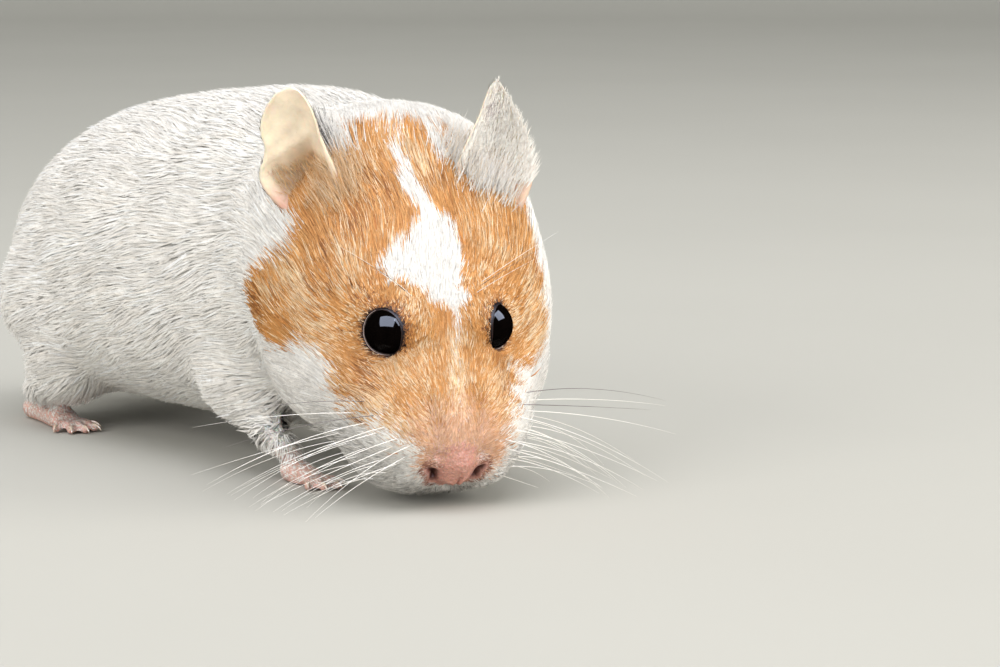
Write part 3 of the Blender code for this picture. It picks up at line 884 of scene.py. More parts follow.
def hair_colour(points, rng):
    orange, brown, pale, muzzle = markings(points)
    count = len(points)
    # hair round the nostrils is painted dark brown as shade
    at_nostril = 0.85 * (1 - ease(nostril_distance(points), 0.9, 2.4))
    at_lid = 1 - ease(lid_gap(points), 0.15, 0.75)
    odds = (ease(orange, 0.05, 0.95), 0.7 * brown, muzzle, 0.85 * pale, at_lid, at_nostril)
    is_orange, is_brown, is_muzzle, is_pale, is_lash, is_nostril_shade = (rng.random((6, count)) < odds)[..., None]
    warm = np.where(is_brown, drawn(BROWN_HAIR, rng, count), drawn(ORANGE_HAIR, rng, count))
    warm = np.where(is_pale, drawn(PALE_HAIR, rng, count), warm)
    warm = np.where(is_muzzle, drawn(MUZZLE_HAIR, rng, count), warm)
    # white tufts low on the head are painted darker at random, as shade between the strands
    low = head_share(points) * ease(-to_head(points)[:, 2], 1, 7)
    white = drawn(WHITE_HAIR, rng, count) * (1 - 0.42 * low * rng.random(count) ** 2)[:, None]
    colour = np.where(is_orange, warm, white)
    colour = np.where(is_nostril_shade, drawn(NOSTRIL_SHADE_HAIR, rng, count), colour)
    colour = np.where(is_lash, drawn(LASH_HAIR, rng, count), colour)
    return np.clip(colour * rng.normal(1.0, 0.05, (count, 1)), 0, 0.97)


def skin_colour(points):
    """The skin under the coat: the coat's mean colour in shade, and pink where the coat is thin."""
    orange, brown, _, _ = markings(points)
    coat = mixed(WHITE_SKIN, mixed(ORANGE_SKIN, BROWN_SKIN, 0.5 * brown), orange)
    coat = mixed(coat, BARE_SKIN, 1 - ease(coat_depth(points), 0.15, 0.8))
    return mixed(coat, LID_SKIN, 1 - ease(lid_gap(points), 0.5, 1.4))


print("skin colours, linear, from", skin_colour(bare_points).min(0).round(2), "up")


# %% [markdown]
# ## A flat map for baking
#
# When the model is baked, every tuft needs a small patch of its own on a flat map, at the place of its root.
# The map is an unwrap of the skin's own shape: Blender's smart projection lays a coarse copy of the skin flat,
# once for the head and once for the rest, so that both have room.

# %% Unwrap the skin
ROUGH_FACES = 5000


def unwrapped(keep):
    """A coarse copy of the skin where keep holds: its tree, its triangles, and the same laid flat."""
    work = bmesh.new()
    work.from_mesh(skin.data)
    stays = keep(np.array([v.co for v in work.verts]) / MM)
    bmesh.ops.delete(work, geom=[v for v, s in zip(work.verts, stays) if not s], context="VERTS")
    rough = new_object("rough", mesh_of("rough", work))
    thin = rough.modifiers.new("thin", "DECIMATE")
    thin.ratio = ROUGH_FACES / len(rough.data.polygons)
    applied(rough)
    bpy.context.view_layer.objects.active = rough
    rough.select_set(True)
    bpy.ops.object.mode_set(mode="EDIT")
    bpy.ops.mesh.select_all(action="SELECT")
    bpy.ops.uv.smart_project(angle_limit=math.radians(75), island_margin=0.004)
    bpy.ops.object.mode_set(mode="OBJECT")
    rough.data.calc_loop_triangles()
    triangles = rough.data.loop_triangles
    corners = np.array([[rough.data.vertices[v].co for v in t.vertices] for t in triangles]) / MM
    layer = rough.data.uv_layers.active.data
    flat = np.array([[layer[k].uv for k in t.loops] for t in triangles])
    faces = np.arange(len(corners) * 3).reshape(-1, 3)
    tree = BVHTree.FromPolygons(corners.reshape(-1, 3).tolist(), faces.tolist())
    bpy.data.objects.remove(rough)
    return tree, corners, flat


def flat_places(points, unwrap):
    """Where points near the skin are on the flat map."""
    tree, corners, flat = unwrap
    found = [tree.find_nearest(p)[:3:2] for p in points.tolist()]
    at, which = np.array([f[0] for f in found]), np.array([f[1] for f in found])
    a, b, c = (corners[which, k] for k in range(3))
    whole = np.cross(b - a, c - a)
    size = np.maximum(np.sum(whole * whole, axis=1), 1e-12)
    second = np.sum(np.cross(at - a, c - a) * whole, axis=1) / size
    third = np.sum(np.cross(b - a, at - a) * whole, axis=1) / size
    share = np.clip(np.stack([1 - second - third, second, third], 1), 0, 1)
    return np.einsum("nk,nkd->nd", share, flat[which])


head_map = unwrapped(lambda places: head_share(places) > 0.2)
body_map = unwrapped(lambda places: head_share(places) < 0.8)
print("flat maps of", len(head_map[2]), "and", len(body_map[2]), "triangles", clock())


# %% [markdown]
# ## Tufts
#
# A tuft is a thin closed spindle: a point in the skin, a three-sided ring near its middle, and a point at the
# tip. Particle hair would look finer, but it isn't a mesh and would be lost on export. Cards with a picture of
# hair would need an image. Spindles are solid, take light from every side, and cost six triangles each.
#
# Roots are scattered over the skin's triangles by area. A second number for every triangle says how crowded
# its tufts stand, because a face has far more hairs to the square millimetre than a back.

# %% Roots on the skin
skin.data.calc_loop_triangles()
skin_triangles = read(skin.data.loop_triangles, "vertices", 3, np.int32)
skin_triangles = skin_triangles[(skin_triangles < bare_count).all(1)]
a, b, c = (bare_points[skin_triangles[:, k]] for k in range(3))
skin_areas = np.linalg.norm(np.cross(b - a, c - a), axis=1) / 2
skin_middles = bare_points[skin_triangles].mean(1)
skin_tree = BVHTree.FromPolygons(bare_points.tolist(), skin_triangles.tolist())


def scatter(count, crowding, rng):
    """Roots over the skin's triangles, in proportion to area times crowding: places and normals."""
    total = np.cumsum(skin_areas * crowding)
    pick = np.searchsorted(total, (np.arange(count) + rng.random(count)) / count * total[-1])
    corners = skin_triangles[np.minimum(pick, len(total) - 1)]
    first, second = np.sqrt(rng.random(count)), rng.random(count)
    share = np.stack([1 - first, first * (1 - second), first * second], 1)[..., None]
    return (bare_points[corners] * share).sum(1), unit((bare_normals[corners] * share).sum(1))


print("skin area", round(skin_areas.sum() / 100, 1), "square cm")


# %% [markdown]
# Clean dry fur falls into locks, because a few dozen hairs lean on each other. Combing them by hand isn't
# possible here, so every root finds the nearest of some scattered lock middles, and its tip is pulled part of
# the way to the mean of its lock's tips.

# %% Pull the tips into locks
def locked(roots, tips, lock_size, pull, rng):
    """The tips pulled together in locks of about lock_size tufts, and each tuft's lock."""
    chosen = rng.choice(len(roots), max(1, len(roots) // lock_size), replace=False)
    tree = KDTree(len(chosen))
    for k, at in enumerate(roots[chosen].tolist()):
        tree.insert(at, k)
    tree.balance()
    lock = np.array([tree.find(at)[1] for at in roots.tolist()])
    number = np.maximum(np.bincount(lock, minlength=len(chosen)), 1)
    mean = np.stack([np.bincount(lock, tips[:, k], len(chosen)) for k in range(3)], 1) / number[:, None]
    return tips + pull[:, None] * (mean[lock] - tips), lock


def on_surface(place):
    """The nearest point of the skin to a place in the head's frame."""
    return np.array(skin_tree.find_nearest(from_head(np.array([place]))[0].tolist())[0])


def over_skin(points, heights):
    """The points moved to that height above the nearest skin, and the skin's normal there."""
    found = [skin_tree.find_nearest(p)[:2] for p in points.tolist()]
    at, out = np.array([f[0] for f in found]), np.array([f[1] for f in found])
    return at + out * heights[:, None], out


# %% [markdown]
# Now the spindle itself. A quadratic curve leaves the skin, rises and bends back along it, and the ring sits
# on the curve, flat side down. The surface normals lean towards the skin's own normal: a real coat is shaded
# softly, because light is scattered among many hairs finer than these. The roots are a little darker than the
# tips, as light reaches them less.

# %% Build the tufts
SOFTNESS = 0.84         # how far a tuft's normals lean to the skin's
ROOTED = 0.25           # how deep a tuft starts in the skin, mm
RING_AT = 0.45          # where the ring is, as a share of the curve
CORNERS = 5             # the root, the ring's three and the tip
SPINDLE = np.array([(1, 2, 0), (2, 3, 0), (3, 1, 0), (2, 1, 4), (3, 2, 4), (1, 3, 4)])
ROOT_SHADE, TIP_SHADE = 0.92, 1.03


def spindles(roots, normals, rises, tips, widths, softness=SOFTNESS):
    """Vertices, normals and triangles of closed spindles, one for each root."""
    start, swing = roots - normals * ROOTED, roots + rises
    at = (1 - RING_AT) ** 2 * start + 2 * RING_AT * (1 - RING_AT) * swing + RING_AT**2 * tips
    ahead = unit((1 - RING_AT) * (swing - start) + RING_AT * (tips - swing))
    side = unit(np.cross(ahead, normals))
    top = np.cross(side, ahead)
    rows, arrows = [start], [normals]
    for out in (side, top * 0.9, -side):
        rows.append(at + out * (widths / 2)[:, None])
        arrows.append(unit(softness * normals + (1 - softness) * unit(out + 0.5 * top)))
    rows.append(tips)
    arrows.append(unit(softness * normals + (1 - softness) * unit(tips - swing)))
    step = np.arange(len(roots))[:, None, None] * CORNERS
    return np.stack(rows, 1), np.stack(arrows, 1), (SPINDLE + step).reshape(-1, 3)


def shaded(tints, root=ROOT_SHADE):
    """Each tuft's colour at its corners, darker at its root than at its tip."""
    return np.clip(tints[:, None] * np.linspace(root, TIP_SHADE, CORNERS)[None, :, None], 0, 0.97)


print("a tuft has", CORNERS, "corners and", len(SPINDLE), "triangles")


# %% Make a piece of many tufts
PATCH = 0.003           # the side of a tuft's patch on the flat map
PATCH_CORNERS = PATCH / 2 * np.array([(0, -1), (1, -0.5), (0, -0.5), (-1, -0.5), (0, 1)])
coat = []


def coat_piece(name, slot, roots, verts, arrows, faces, colours, unwrap):
    """One mesh object of tufts with its normals, its hair colours and its flat map for baking."""
    mesh = bpy.data.meshes.new(name)
    mesh.vertices.add(len(roots) * CORNERS)
    mesh.vertices.foreach_set("co", (verts * MM).astype(np.float32).ravel())
    mesh.loops.add(len(faces) * 3)
    mesh.loops.foreach_set("vertex_index", faces.astype(np.int32).ravel())
    mesh.polygons.add(len(faces))
    mesh.polygons.foreach_set("loop_start", np.arange(0, len(faces) * 3, 3, dtype=np.int32))
    mesh.polygons.foreach_set("use_smooth", np.ones(len(faces), bool))
    mesh.update()
    paint = mesh.color_attributes.new("hair_colour", "FLOAT_COLOR", "POINT")
    full = np.concatenate([colours, np.ones((*colours.shape[:2], 1))], -1)
    paint.data.foreach_set("color", full.astype(np.float32).ravel())
    flat = flat_places(roots, unwrap)
    laid = (flat[:, None] * (1 - 2 * PATCH) + PATCH + PATCH_CORNERS).reshape(-1, 2)
    layer = mesh.uv_layers.new(name="OFBake")
    layer.data.foreach_set("uv", laid[faces.ravel()].astype(np.float32).ravel())
    mesh.normals_split_custom_set_from_vertices(arrows.reshape(-1, 3))
    made = new_object(name, mesh)
    coat.append(made)
    print(name, len(roots), "tufts", len(faces), "triangles", clock())


# %% [markdown]
# A layer of the coat is grown in one go. Each tip hangs over the skin at the coat's depth, a tuft's length
# along the lie of the coat. A sway shared by neighbours ruffles the lie, and each lock is a shade of its own,
# which is what makes the locks show on a white flank.

# %% Grow a layer
def grow(name, slot, roots, normals, unwrap, rng, lift=1.0, wide=1.0, lock_size=16, pull=0.5, uneven=0.07,
         softness=SOFTNESS, root=ROOT_SHADE):
    """A layer of tufts, as one piece. All that varies over the body comes from the functions above."""
    count = len(roots)
    depth, length = coat_depth(roots) * lift, tuft_length(roots) * rng.uniform(0.75, 1.2, count)
    lie = coat_lie(roots, normals)
    sway = 0.10 * rng.normal(size=count) + 0.16 * ripple(roots, 9.0, 21) + 0.10 * ripple(roots, 3.5, 22)
    lie = unit(lie + np.cross(lie, normals) * sway[:, None])
    heights = depth * rng.triangular(0.55, 0.95, 1.12, count)
    tips, out = over_skin(roots + lie * length[:, None], heights)
    tips, lock = locked(roots, tips, lock_size, pull * rng.uniform(0.5, 1.2, count), rng)
    tips[:, 2] = np.maximum(tips[:, 2], 0.3)
    rises = lie * (0.42 * length)[:, None] + normals * (heights * 1.1)[:, None]
    widths = tuft_width(roots) * wide * rng.uniform(0.7, 1.25, count)
    made = spindles(roots, unit(normals + out), rises, tips, widths, softness)
    tint = hair_colour(roots + 0.5 * lie * length[:, None], rng)
    shade = rng.normal(1.0, uneven, lock.max() + 1)[lock][:, None]
    coat_piece(name, slot, roots, *made, shaded(tint * shade, root), unwrap)


# %% [markdown]
# The coat is laid in layers, each a thinned covering of the whole head or of the whole trunk. The face gets
# far more and smaller tufts than the back. Bare places get none: the nose pad, the lids and the soles. On the
# whisker pads a few wider tufts stand out, pulled into small pointed locks whose roots are painted dark as
# shade.

# %% How crowded the tufts stand
def pad_clear(points):
    """0 on the bare nose pad and in the nostrils, 1 outside them."""
    local = folded(points)
    above, inner = local[:, 2] > -4, local[:, 0] < 3.2
    bare = ease(pad_distance(points), np.where(above, 1.2, 2.3), np.where(above, 3.4, 3.0))
    return bare * ease(nostril_distance(points), np.where(inner, 0.7, 0.42), np.where(inner, 1.0, 0.6))


share, leg, tail = (part(skin_middles) for part in (head_share, leg_share, tail_share))
height = skin_middles[:, 2]
coated = ease(lid_gap(skin_middles), 0.0, 0.25) * pad_clear(skin_middles) * ease(height, 0.5, 1.0)
face = np.interp(nose_distance(skin_middles), [3, 8, 16, 26, 40, 52], [3.2, 2.6, 1.9, 1.45, 0.9, 0.6])
under = ease(-to_head(skin_middles)[:, 2], 9, 13)
head_crowd = share * coated * face * (1 - 0.35 * under)
body_crowd = (1 - share) * coated * (1 - leg) * (1 - tail) * np.interp(height, [4, 12], [0.6, 1.0])
limb_crowd = (1 - share) * coated * np.maximum(leg, 2.2 * tail)
FLUFF_AT, FLUFF_SIZE = np.array([7.0, -31.0, -10.0]), np.array([4.0, 4.6, 3.8])
fluff = hill(np.linalg.norm((folded(skin_middles) - FLUFF_AT) / FLUFF_SIZE, axis=1), 1) * coated

print("skin with coat:", round(float((skin_areas * coated).sum()) / 100, 1), "square cm")


# %% Lay the coat
few = 1.0
HEAD_TUFTS, BODY_TUFTS, MUZZLE_TUFTS, LIMB_TUFTS = 31000, 23500, 8000, 12000       # in one layer
BODY, LIMBS = {"wide": 1.15, "lock_size": 20, "pull": 0.4}, {"lock_size": 8}
# the muzzle tufts' roots are painted dark as shade between the locks
MUZZLE = {
    "lift": 1.8, "wide": 1.5, "lock_size": 7, "pull": 0.75, "uneven": 0.14, "softness": 0.5, "root": 0.5,
}
LAYERS = [  # name, slot, seed, tufts, how crowded, flat map, manner
    *[("coat_head_%d" % k, "face_coat", 99 + k, HEAD_TUFTS, head_crowd, head_map, {}) for k in range(1, 5)],
    *[("coat_body_%d" % k, "body_coat", 199 + k, BODY_TUFTS, body_crowd, body_map, BODY) for k in range(1, 5)],
    ("coat_muzzle", "face_coat", 320, MUZZLE_TUFTS, fluff, head_map, MUZZLE),
    ("coat_limbs", "body_coat", 300, LIMB_TUFTS, limb_crowd, body_map, LIMBS),
]
for name, slot, seed, tufts, crowd, unwrap, manner in LAYERS:
    rng = np.random.default_rng(seed)
    roots, out = scatter(int(tufts * few), crowd, rng)
    grow(name, slot, roots, out, unwrap, rng, **manner)


# %% [markdown]
# The ears need hair of their own. The left one is clad in front with soft white hair and a grey patch. The
# right one is bare in its cup, with a little orange hair at the foot. Behind, both carry a thin short nap.
# Hair there can't ask for the skin below it, so it grows straight from the sheets that the ears were made of.

# %% Roots on an ear
def ear_roots(word, in_front, low, high, reach, count, rng):
    """Random places on one side of an ear: where, the arrows outwards and upwards, height, place across."""
    points, _, height, u = ears[word]
    grid = points.reshape(2, EAR_ROWS, EAR_STEPS, 3)
    height, u = (part[:len(points) // 2].reshape(EAR_ROWS, EAR_STEPS) for part in (height, u))
    out = unit(grid[0] - grid[1])
    facing = HEAD_AXES @ np.array(EARS[word][0][2])
    front = 0 if np.mean(out @ facing) > 0 else 1
    side = front if in_front else 1 - front
    out, at = out * (1 if side == 0 else -1), grid[side]
    fit = (height > low) & (height < high) & (u > reach[0]) & (u < reach[1])
    fit[-1], fit[:, -1] = False, False
    rows, steps = np.nonzero(fit)
    size = np.linalg.norm(at[rows, steps + 1] - at[rows, steps], axis=1)
    pick = rng.choice(len(rows), count, p=size / size.sum())
    r, s = rows[pick], steps[pick]
    a, b = rng.random((2, count, 1))
    across, up = at[r, s + 1] - at[r, s], at[r + 1, s] - at[r, s]
    return at[r, s] + a * across + b * up, out[r, s], unit(up), height[r, s], u[r, s]


ear_hair = []


def add_hair(roots, out, heading, lengths, lifts, widths, tints, towards=(0, 0, 0.7), root=ROOT_SHADE):
    """Tufts that leave along heading and end lifts mm above it. Their shading leans towards an arrow."""
    tips = roots + heading * lengths[:, None] + out * lifts[:, None]
    rises = heading * (0.42 * lengths)[:, None] + out * (0.8 * lifts)[:, None]
    made = spindles(roots, unit(out + np.array(towards)), rises, tips, widths)
    ear_hair.append((roots, *made, shaded(tints, root)))


# %% Clothe the ears
rng = np.random.default_rng(400)
count = int(4600 * few)
roots, out, up, height, u = ear_roots("left", True, -2.0, 14.0, (-1.01, 1.01), count, rng)
across = flat_arrows(np.tile(HEAD_AXES @ np.array([1.0, 0, 0]), (count, 1)), out)
heading = unit(up + across * (0.15 * u + 0.35 * u**3 + 0.15 * rng.normal(size=count))[:, None])
tint = drawn(tones("#FFFCF7", "#FAF3EA", "#EFE6DA"), rng, count) * rng.normal(1.0, 0.04, (count, 1))
grey = rng.random(count) < 0.75 * hill(height - 8.8, 1.8) * hill(u + 0.3, 0.32)
tint = np.where(grey[:, None], drawn(tones("#C9BDB8", "#DDD3CE", "#A1979A"), rng, count), tint)
warm = rng.random(count) < 0.8 * (1 - ease(height, -1.0, 2.5)) * (1 - ease(u, 0.2, 0.6))
tint = np.where(warm[:, None], drawn(ORANGE_HAIR, rng, count), tint)
lengths = rng.uniform(1.6, 2.6, count) * np.interp(height, [0, 8, 13], [1.4, 0.9, 0.5])
lifts, widths = rng.uniform(0.05, 0.3, count), rng.uniform(0.10, 0.15, count)
add_hair(roots, out, heading, lengths, lifts, widths, tint, towards=(0.3, -1.2, 0.3), root=1.0)
for word in ("left", "right"):
    count = int(1500 * few)
    roots, out, up, height, u = ear_roots(word, False, -1.0, 13.5, (-1, 1), count, rng)
    tint = drawn(tones("#E9DCC6", "#CDBFAE", "#A89A8C"), rng, count)
    heading = unit(up + 0.2 * rng.normal(size=(count, 3)))
    lengths, lifts = rng.uniform(0.8, 1.3, count), rng.uniform(0.05, 0.2, count)
    add_hair(roots, out, heading, lengths, lifts, np.full(count, 0.08), tint)
count = int(700 * few)
roots, out, up, height, u = ear_roots("right", True, -2.0, 2.8, (-0.9, 0.8), count, rng)
tint = drawn(ORANGE_HAIR[:1] + PALE_HAIR, rng, count)
heading = unit(up + 0.25 * rng.normal(size=(count, 3)))
lengths, lifts = rng.uniform(1.4, 3.2, count), rng.uniform(0.2, 0.9, count)
add_hair(roots, out, heading, lengths, lifts, np.full(count, 0.11), tint, towards=(0, -1.0, 1.2))
print("the ears have", sum(len(part[0]) for part in ear_hair), "tufts")


# %% [markdown]
# Wisps of longer hair stand where the ears grow out of the crown, and hide their feet. One tall wisp, white and
# dark grey, stands beside the right ear. A wisp is a small cloud of roots dropped on the skin, all of whose
# hairs point nearly the same way.

# %% Wisps beside the ears
def wisp(place, spread, count, rng):
    """Roots and normals of a wisp's hairs round a place in the head's frame, and its middle."""
    base = on_surface(place)
    return *over_skin(base + rng.normal(size=(count, 3)) * spread, np.zeros(count)), base


LEFT_WISP, RIGHT_WISP = WHITE_HAIR + PALE_HAIR[:1], PALE_HAIR + ORANGE_HAIR[:2]
WISPS = [  # a place in the head's frame, the way the wisp points, and its colours
    ((9.4, 1.2, 9.5), (0.05, 0.42, 0.90), LEFT_WISP),
    ((12.6, 0.8, 8.4), (0.12, 0.40, 0.90), LEFT_WISP),
    ((7.0, 3.5, 11.5), (0.26, 0.55, 0.81), LEFT_WISP),
    ((-9.6, 0.4, 10.6), (-0.42, 0.62, 0.66), RIGHT_WISP),
    ((-11.4, -0.6, 8.6), (-0.48, 0.60, 0.62), RIGHT_WISP),
    ((-10.4, 2.4, 11.5), (-0.42, 0.68, 0.62), RIGHT_WISP),
]
for place, lean, colours in WISPS:
    count = int(420 * few)
    roots, out, base = wisp(place, 1.6, count, rng)
    heading = unit(HEAD_AXES @ np.array(lean) + 0.17 * rng.normal(size=(count, 3)))
    tint = drawn(colours, rng, count)
    lengths, lifts = rng.uniform(3.0, 5.8, count), rng.uniform(0.1, 0.6, count)
    widths = rng.uniform(0.10, 0.16, count)
    # the wisps' roots are painted dark as shade
    add_hair(roots, out, heading, lengths, lifts, widths, tint, towards=(0, -1.4, 1.6), root=0.62)
print("with the wisps the ears have", sum(len(part[0]) for part in ear_hair), "tufts")
count = int(480 * few)
roots, out, base = wisp((-10.8, 5.8, 13.6), np.array([1.0, 1.3, 0.9]), count, rng)
dark_from = -to_head(base[None])[0, 0] - 0.35
heading = unit(HEAD_AXES @ np.array([-0.385, 0.82, 0.605]) + 0.13 * rng.normal(size=(count, 3)))
dark = rng.random(count) < 0.08 + ease(-to_head(roots)[:, 0], dark_from, dark_from + 1.2)
tint = np.where(dark[:, None], drawn(DARK_HAIR, rng, count), drawn(WHITE_HAIR, rng, count))
lengths, lifts = rng.uniform(4.6, 9.0, count), rng.uniform(0.1, 0.5, count)
add_hair(roots, out, heading, lengths, lifts, rng.uniform(0.10, 0.16, count), tint)


# %% Join the hair of ears and wisps
roots, verts, arrows, faces, colours = zip(*ear_hair)
starts = np.cumsum([0] + [CORNERS * len(part) for part in roots])
faces = [part + start for part, start in zip(faces, starts)]
parts = [np.concatenate(part) for part in (roots, verts, arrows, faces, colours)]
coat_piece("coat_ears", "ear", *parts, head_map)


# %% [markdown]
# ## Eyes
#
# The eye is a dark ball, almost all of it pupil and deep brown iris under a clear wet cornea. What the viewer
# sees is the reflection on it, so the ball is made with many more faces than the CAD has, and its material is
# black and very smooth.

# %% Turn the eyeballs
BALL_SEGMENTS, BALL_RINGS = 64, 40
eyeballs = []
for word in ("left", "right"):
    work = bmesh.new()
    bmesh.ops.create_uvsphere(work, u_segments=BALL_SEGMENTS, v_segments=BALL_RINGS, radius=EYE_RADIUS * MM,
                              matrix=Matrix.Translation(middle("eye_" + word)))
    made = new_object("eyeball_" + word, mesh_of("eyeball_" + word, work))
    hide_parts("eye_" + word)
    eyeballs.append(made)
print("eyeballs", 2 * EYE_RADIUS, "mm across")


# %% [markdown]
# A thin wet line runs where the lower lid meets the ball. It catches the light, and without it an eye looks
# dry; its pale colour is partly painted reflection of the wet film. It is a tube a tenth of a millimetre thick.
# Whiskers are tubes too, so one function sweeps both. Curve objects with a bevel would do as well, but they
# have to become meshes in the end.

# %% Sweep thin tubes
def tube(line, radii, sides=6):
    """Points and faces of a closed round tube along the line, with a radius for each of its points."""
    line, radii = np.array(line), np.array(radii)
    ahead = unit(np.gradient(line, axis=0))
    side = unit(np.cross(ahead, np.array([0.31, 0.22, 0.93])))
    top = np.cross(ahead, side)
    turn = np.linspace(0, 2 * np.pi, sides, endpoint=False)
    ring = np.cos(turn)[None, :, None] * side[:, None] + np.sin(turn)[None, :, None] * top[:, None]
    points = (line[:, None] + ring * radii[:, None, None]).reshape(-1, 3)
    n = len(line)
    grid = np.arange(n * sides).reshape(n, sides)
    faces = quads(np.pad(grid, ((0, 0), (0, 1)), "wrap")).tolist()
    return points, faces + [grid[0, ::-1].tolist(), grid[-1].tolist()]


def piece(name, parts):
    """One smooth mesh object of several closed bodies, each given as points in mm and faces."""
    work = bmesh.new()
    for points, faces in parts:
        made = [work.verts.new(Vector(p) * MM) for p in points]
        for face in faces:
            work.faces.new([made[k] for k in face])
    bmesh.ops.recalc_face_normals(work, faces=work.faces)
    return new_object(name, mesh_of(name, work))


wet_turn = np.linspace(math.radians(15), math.radians(185), 56)
wet_radii = 0.015 + 0.045 * np.sin(np.linspace(0.02, np.pi - 0.02, len(wet_turn))) ** 0.6
wet_lines = [from_head(beside_lid(side, wet_turn, 1.0, 0.10)) for side in (1, -1)]
tear_line = piece("tear_line", [tube(line, wet_radii) for line in wet_lines])
print("tear lines", round(2 * wet_radii.max(), 2), "mm thick")


# %% [markdown]
# ## Whiskers
#
# Whiskers stand in rows on the whisker pads, the lower ones pale and long, and spread forwards and down in
# a fan. A few dark ones stand higher, and a few grow over the eyes. They are 0.12 mm thick at the root, a
# little more than real ones, and taper to a fine tip.

# %% Shape a whisker
WHISKER_RADIUS, BROW_RADIUS = 0.062, 0.045      # at the root, mm
WHISKER_REACH = (39.5, -79.5)       # the farthest a tip goes to the sides and to the front, mm


def whisker(root, heading, length, sag, bend, radius=WHISKER_RADIUS):
    """A tapered tube from a root on the skin, curving sideways by bend and down by sag, in the body's frame. It
    is kept over the floor, and shortened till its tip is within reach."""
    t = np.linspace(0, 1, 16)[:, None]
    heading = unit(np.array(heading, float))
    while True:
        heading[2] = max(heading[2], (1.0 + sag - bend[2] - root[2]) / length)
        line = root + heading * length * t + np.array(bend) * t**2 + np.array([0, 0, -sag]) * t**2
        tip = line[-1]
        if (abs(tip[0]) < WHISKER_REACH[0] and tip[1] > WHISKER_REACH[1]) or length < 3:
            return tube(line, radius * (1 - 0.88 * t[:, 0] ** 1.1), 5)
        length *= 0.96


# %% Set the whiskers
rng = np.random.default_rng(7)
pale, dark = [], []
for side in (1, -1):
    for row in range(5):
        for column in range(5):
            y, z = -34.6 + 1.75 * column + 0.3 * row, -1.8 - 1.75 * row
            root = on_surface((side * (6.5 + 0.9 * column), y, z + rng.uniform(-0.3, 0.3)))
            heading = np.array([side * (0.80 + 0.05 * column), -0.40 + 0.13 * column, -0.02 - 0.16 * row])
            heading = heading + rng.normal(0, 0.06, 3)
            length = rng.uniform(15, 21) + 1.6 * column - 1.2 * row
            line = whisker(root, HEAD_AXES @ heading, length, rng.uniform(1.5, 5.0), rng.normal(0, 1.3, 3))
            (dark if row == 0 and column > 2 else pale).append(line)
    for k in range(3):
        root = on_surface((side * (4.6 + 0.8 * k), -17.5 + 1.2 * k, 9.5))
        heading = HEAD_AXES @ np.array([side * (0.55 + 0.12 * k), -0.05 + 0.1 * k, 0.75])
        line = whisker(root, heading, 10.5 + 1.5 * k, 0.6, (side * 1.5, 1.5, 0), BROW_RADIUS)
        (dark if k == 1 else pale).append(line)
whiskers, dark_whiskers = piece("whiskers", pale), piece("dark_whiskers", dark)
print(len(pale), "pale and", len(dark), "dark whiskers")


# %% [markdown]
# ## Claws
#
# Each toe ends in a short curved claw. Claws are horn, not skin, so they are a piece of their own. A claw is a
# tube that narrows to a point, and it starts inside the toe. Where the toe ends is found from the middle of
# the foot's ball and the angle at which the toe spreads.

# %% Set the claws
CLAW_LENGTH = 1.9
FORE_TOES = [(-33, 3.6), (-11, 4.6), (11, 4.7), (34, 3.8)]      # degrees from straight ahead, and mm long
HIND_TOES = [(-38, 3.8), (-17, 5.6), (1, 6.1), (19, 5.6), (42, 4.0)]
FORE_BALL, HIND_BALL = (14.2, -36.03, 1.0), (20.2, 28.07, 1.2)         # x, y and half width, mm


def claw(tip, ahead):
    """A small curved cone that starts in the toe and bends down to the floor."""
    t = np.linspace(0, 1, 7)[:, None]
    start = tip - ahead * 0.5 + np.array([0, 0, 0.35])
    line = start + ahead * CLAW_LENGTH * t + np.array([0, 0, 1]) * (0.25 * np.sin(np.pi * t) - 0.62 * t**2)
    return tube(line, 0.30 * (1 - t[:, 0]) ** 0.7 + 0.035, 8)


claws = []
for (x, y, reach), toes in ((FORE_BALL, FORE_TOES), (HIND_BALL, HIND_TOES)):
    for side in (1, -1):
        for angle, length in toes:
            turn = math.radians(angle) * side
            ahead = np.array([math.sin(turn), -math.cos(turn), 0])
            tip = np.array([side * x, y, 0.62]) + ahead * (reach + length)
            claws.append(claw(tip, ahead))
print(len(claws), "claws")
claws = piece("claws", claws)


# %% [markdown]
# ## Colour the skin
#
# The skin carries its colours as an attribute on its points, worked out by the same functions as the hair's.
# An unwrapped picture could do it too, but would have to be painted by hand. The nose pad, the nostrils, the
# ears and the lids are bare, so they get pinks and browns of their own. The groove of the pad and the sides of
# the nostrils are painted darker as shade, the nostrils near-black as the shade inside them, and the right
# ear's cup tan as the shade in its hollow. The attribute's fourth channel is 1 on the body and 0 on ears and
# lids, which are too smooth and thin for pores.

# %% Paint the skin
local = to_head(bare_points)
pad = 1 - ease(pad_distance(bare_points), 2.4, 3.4)
bridge = hill(line_distance(local, [(0, -37, -2), (0, -34.5, 1), (0, -31.5, 3)]), 2.0)
groove_shade = hill(local[:, 0], 0.28) * ease(-local[:, 2], 3.2, 4.4) * pad
nostril = nostril_distance(bare_points)
body = mixed(skin_colour(bare_points), NOSE_SKIN, pad)
body = mixed(body, linear("#E6B5A4"), 0.7 * bridge * (1 - pad))
# painted shade in the groove of the pad and beside the nostrils
body = mixed(body, linear("#A86F62"), 0.7 * np.maximum(groove_shade, 1 - ease(nostril, 0.4, 1.6)))
# the nostrils are painted near-black as the shade inside them
body = mixed(body, linear("#43201A"), 0.9 * (1 - ease(nostril, 0.2, 0.85)))

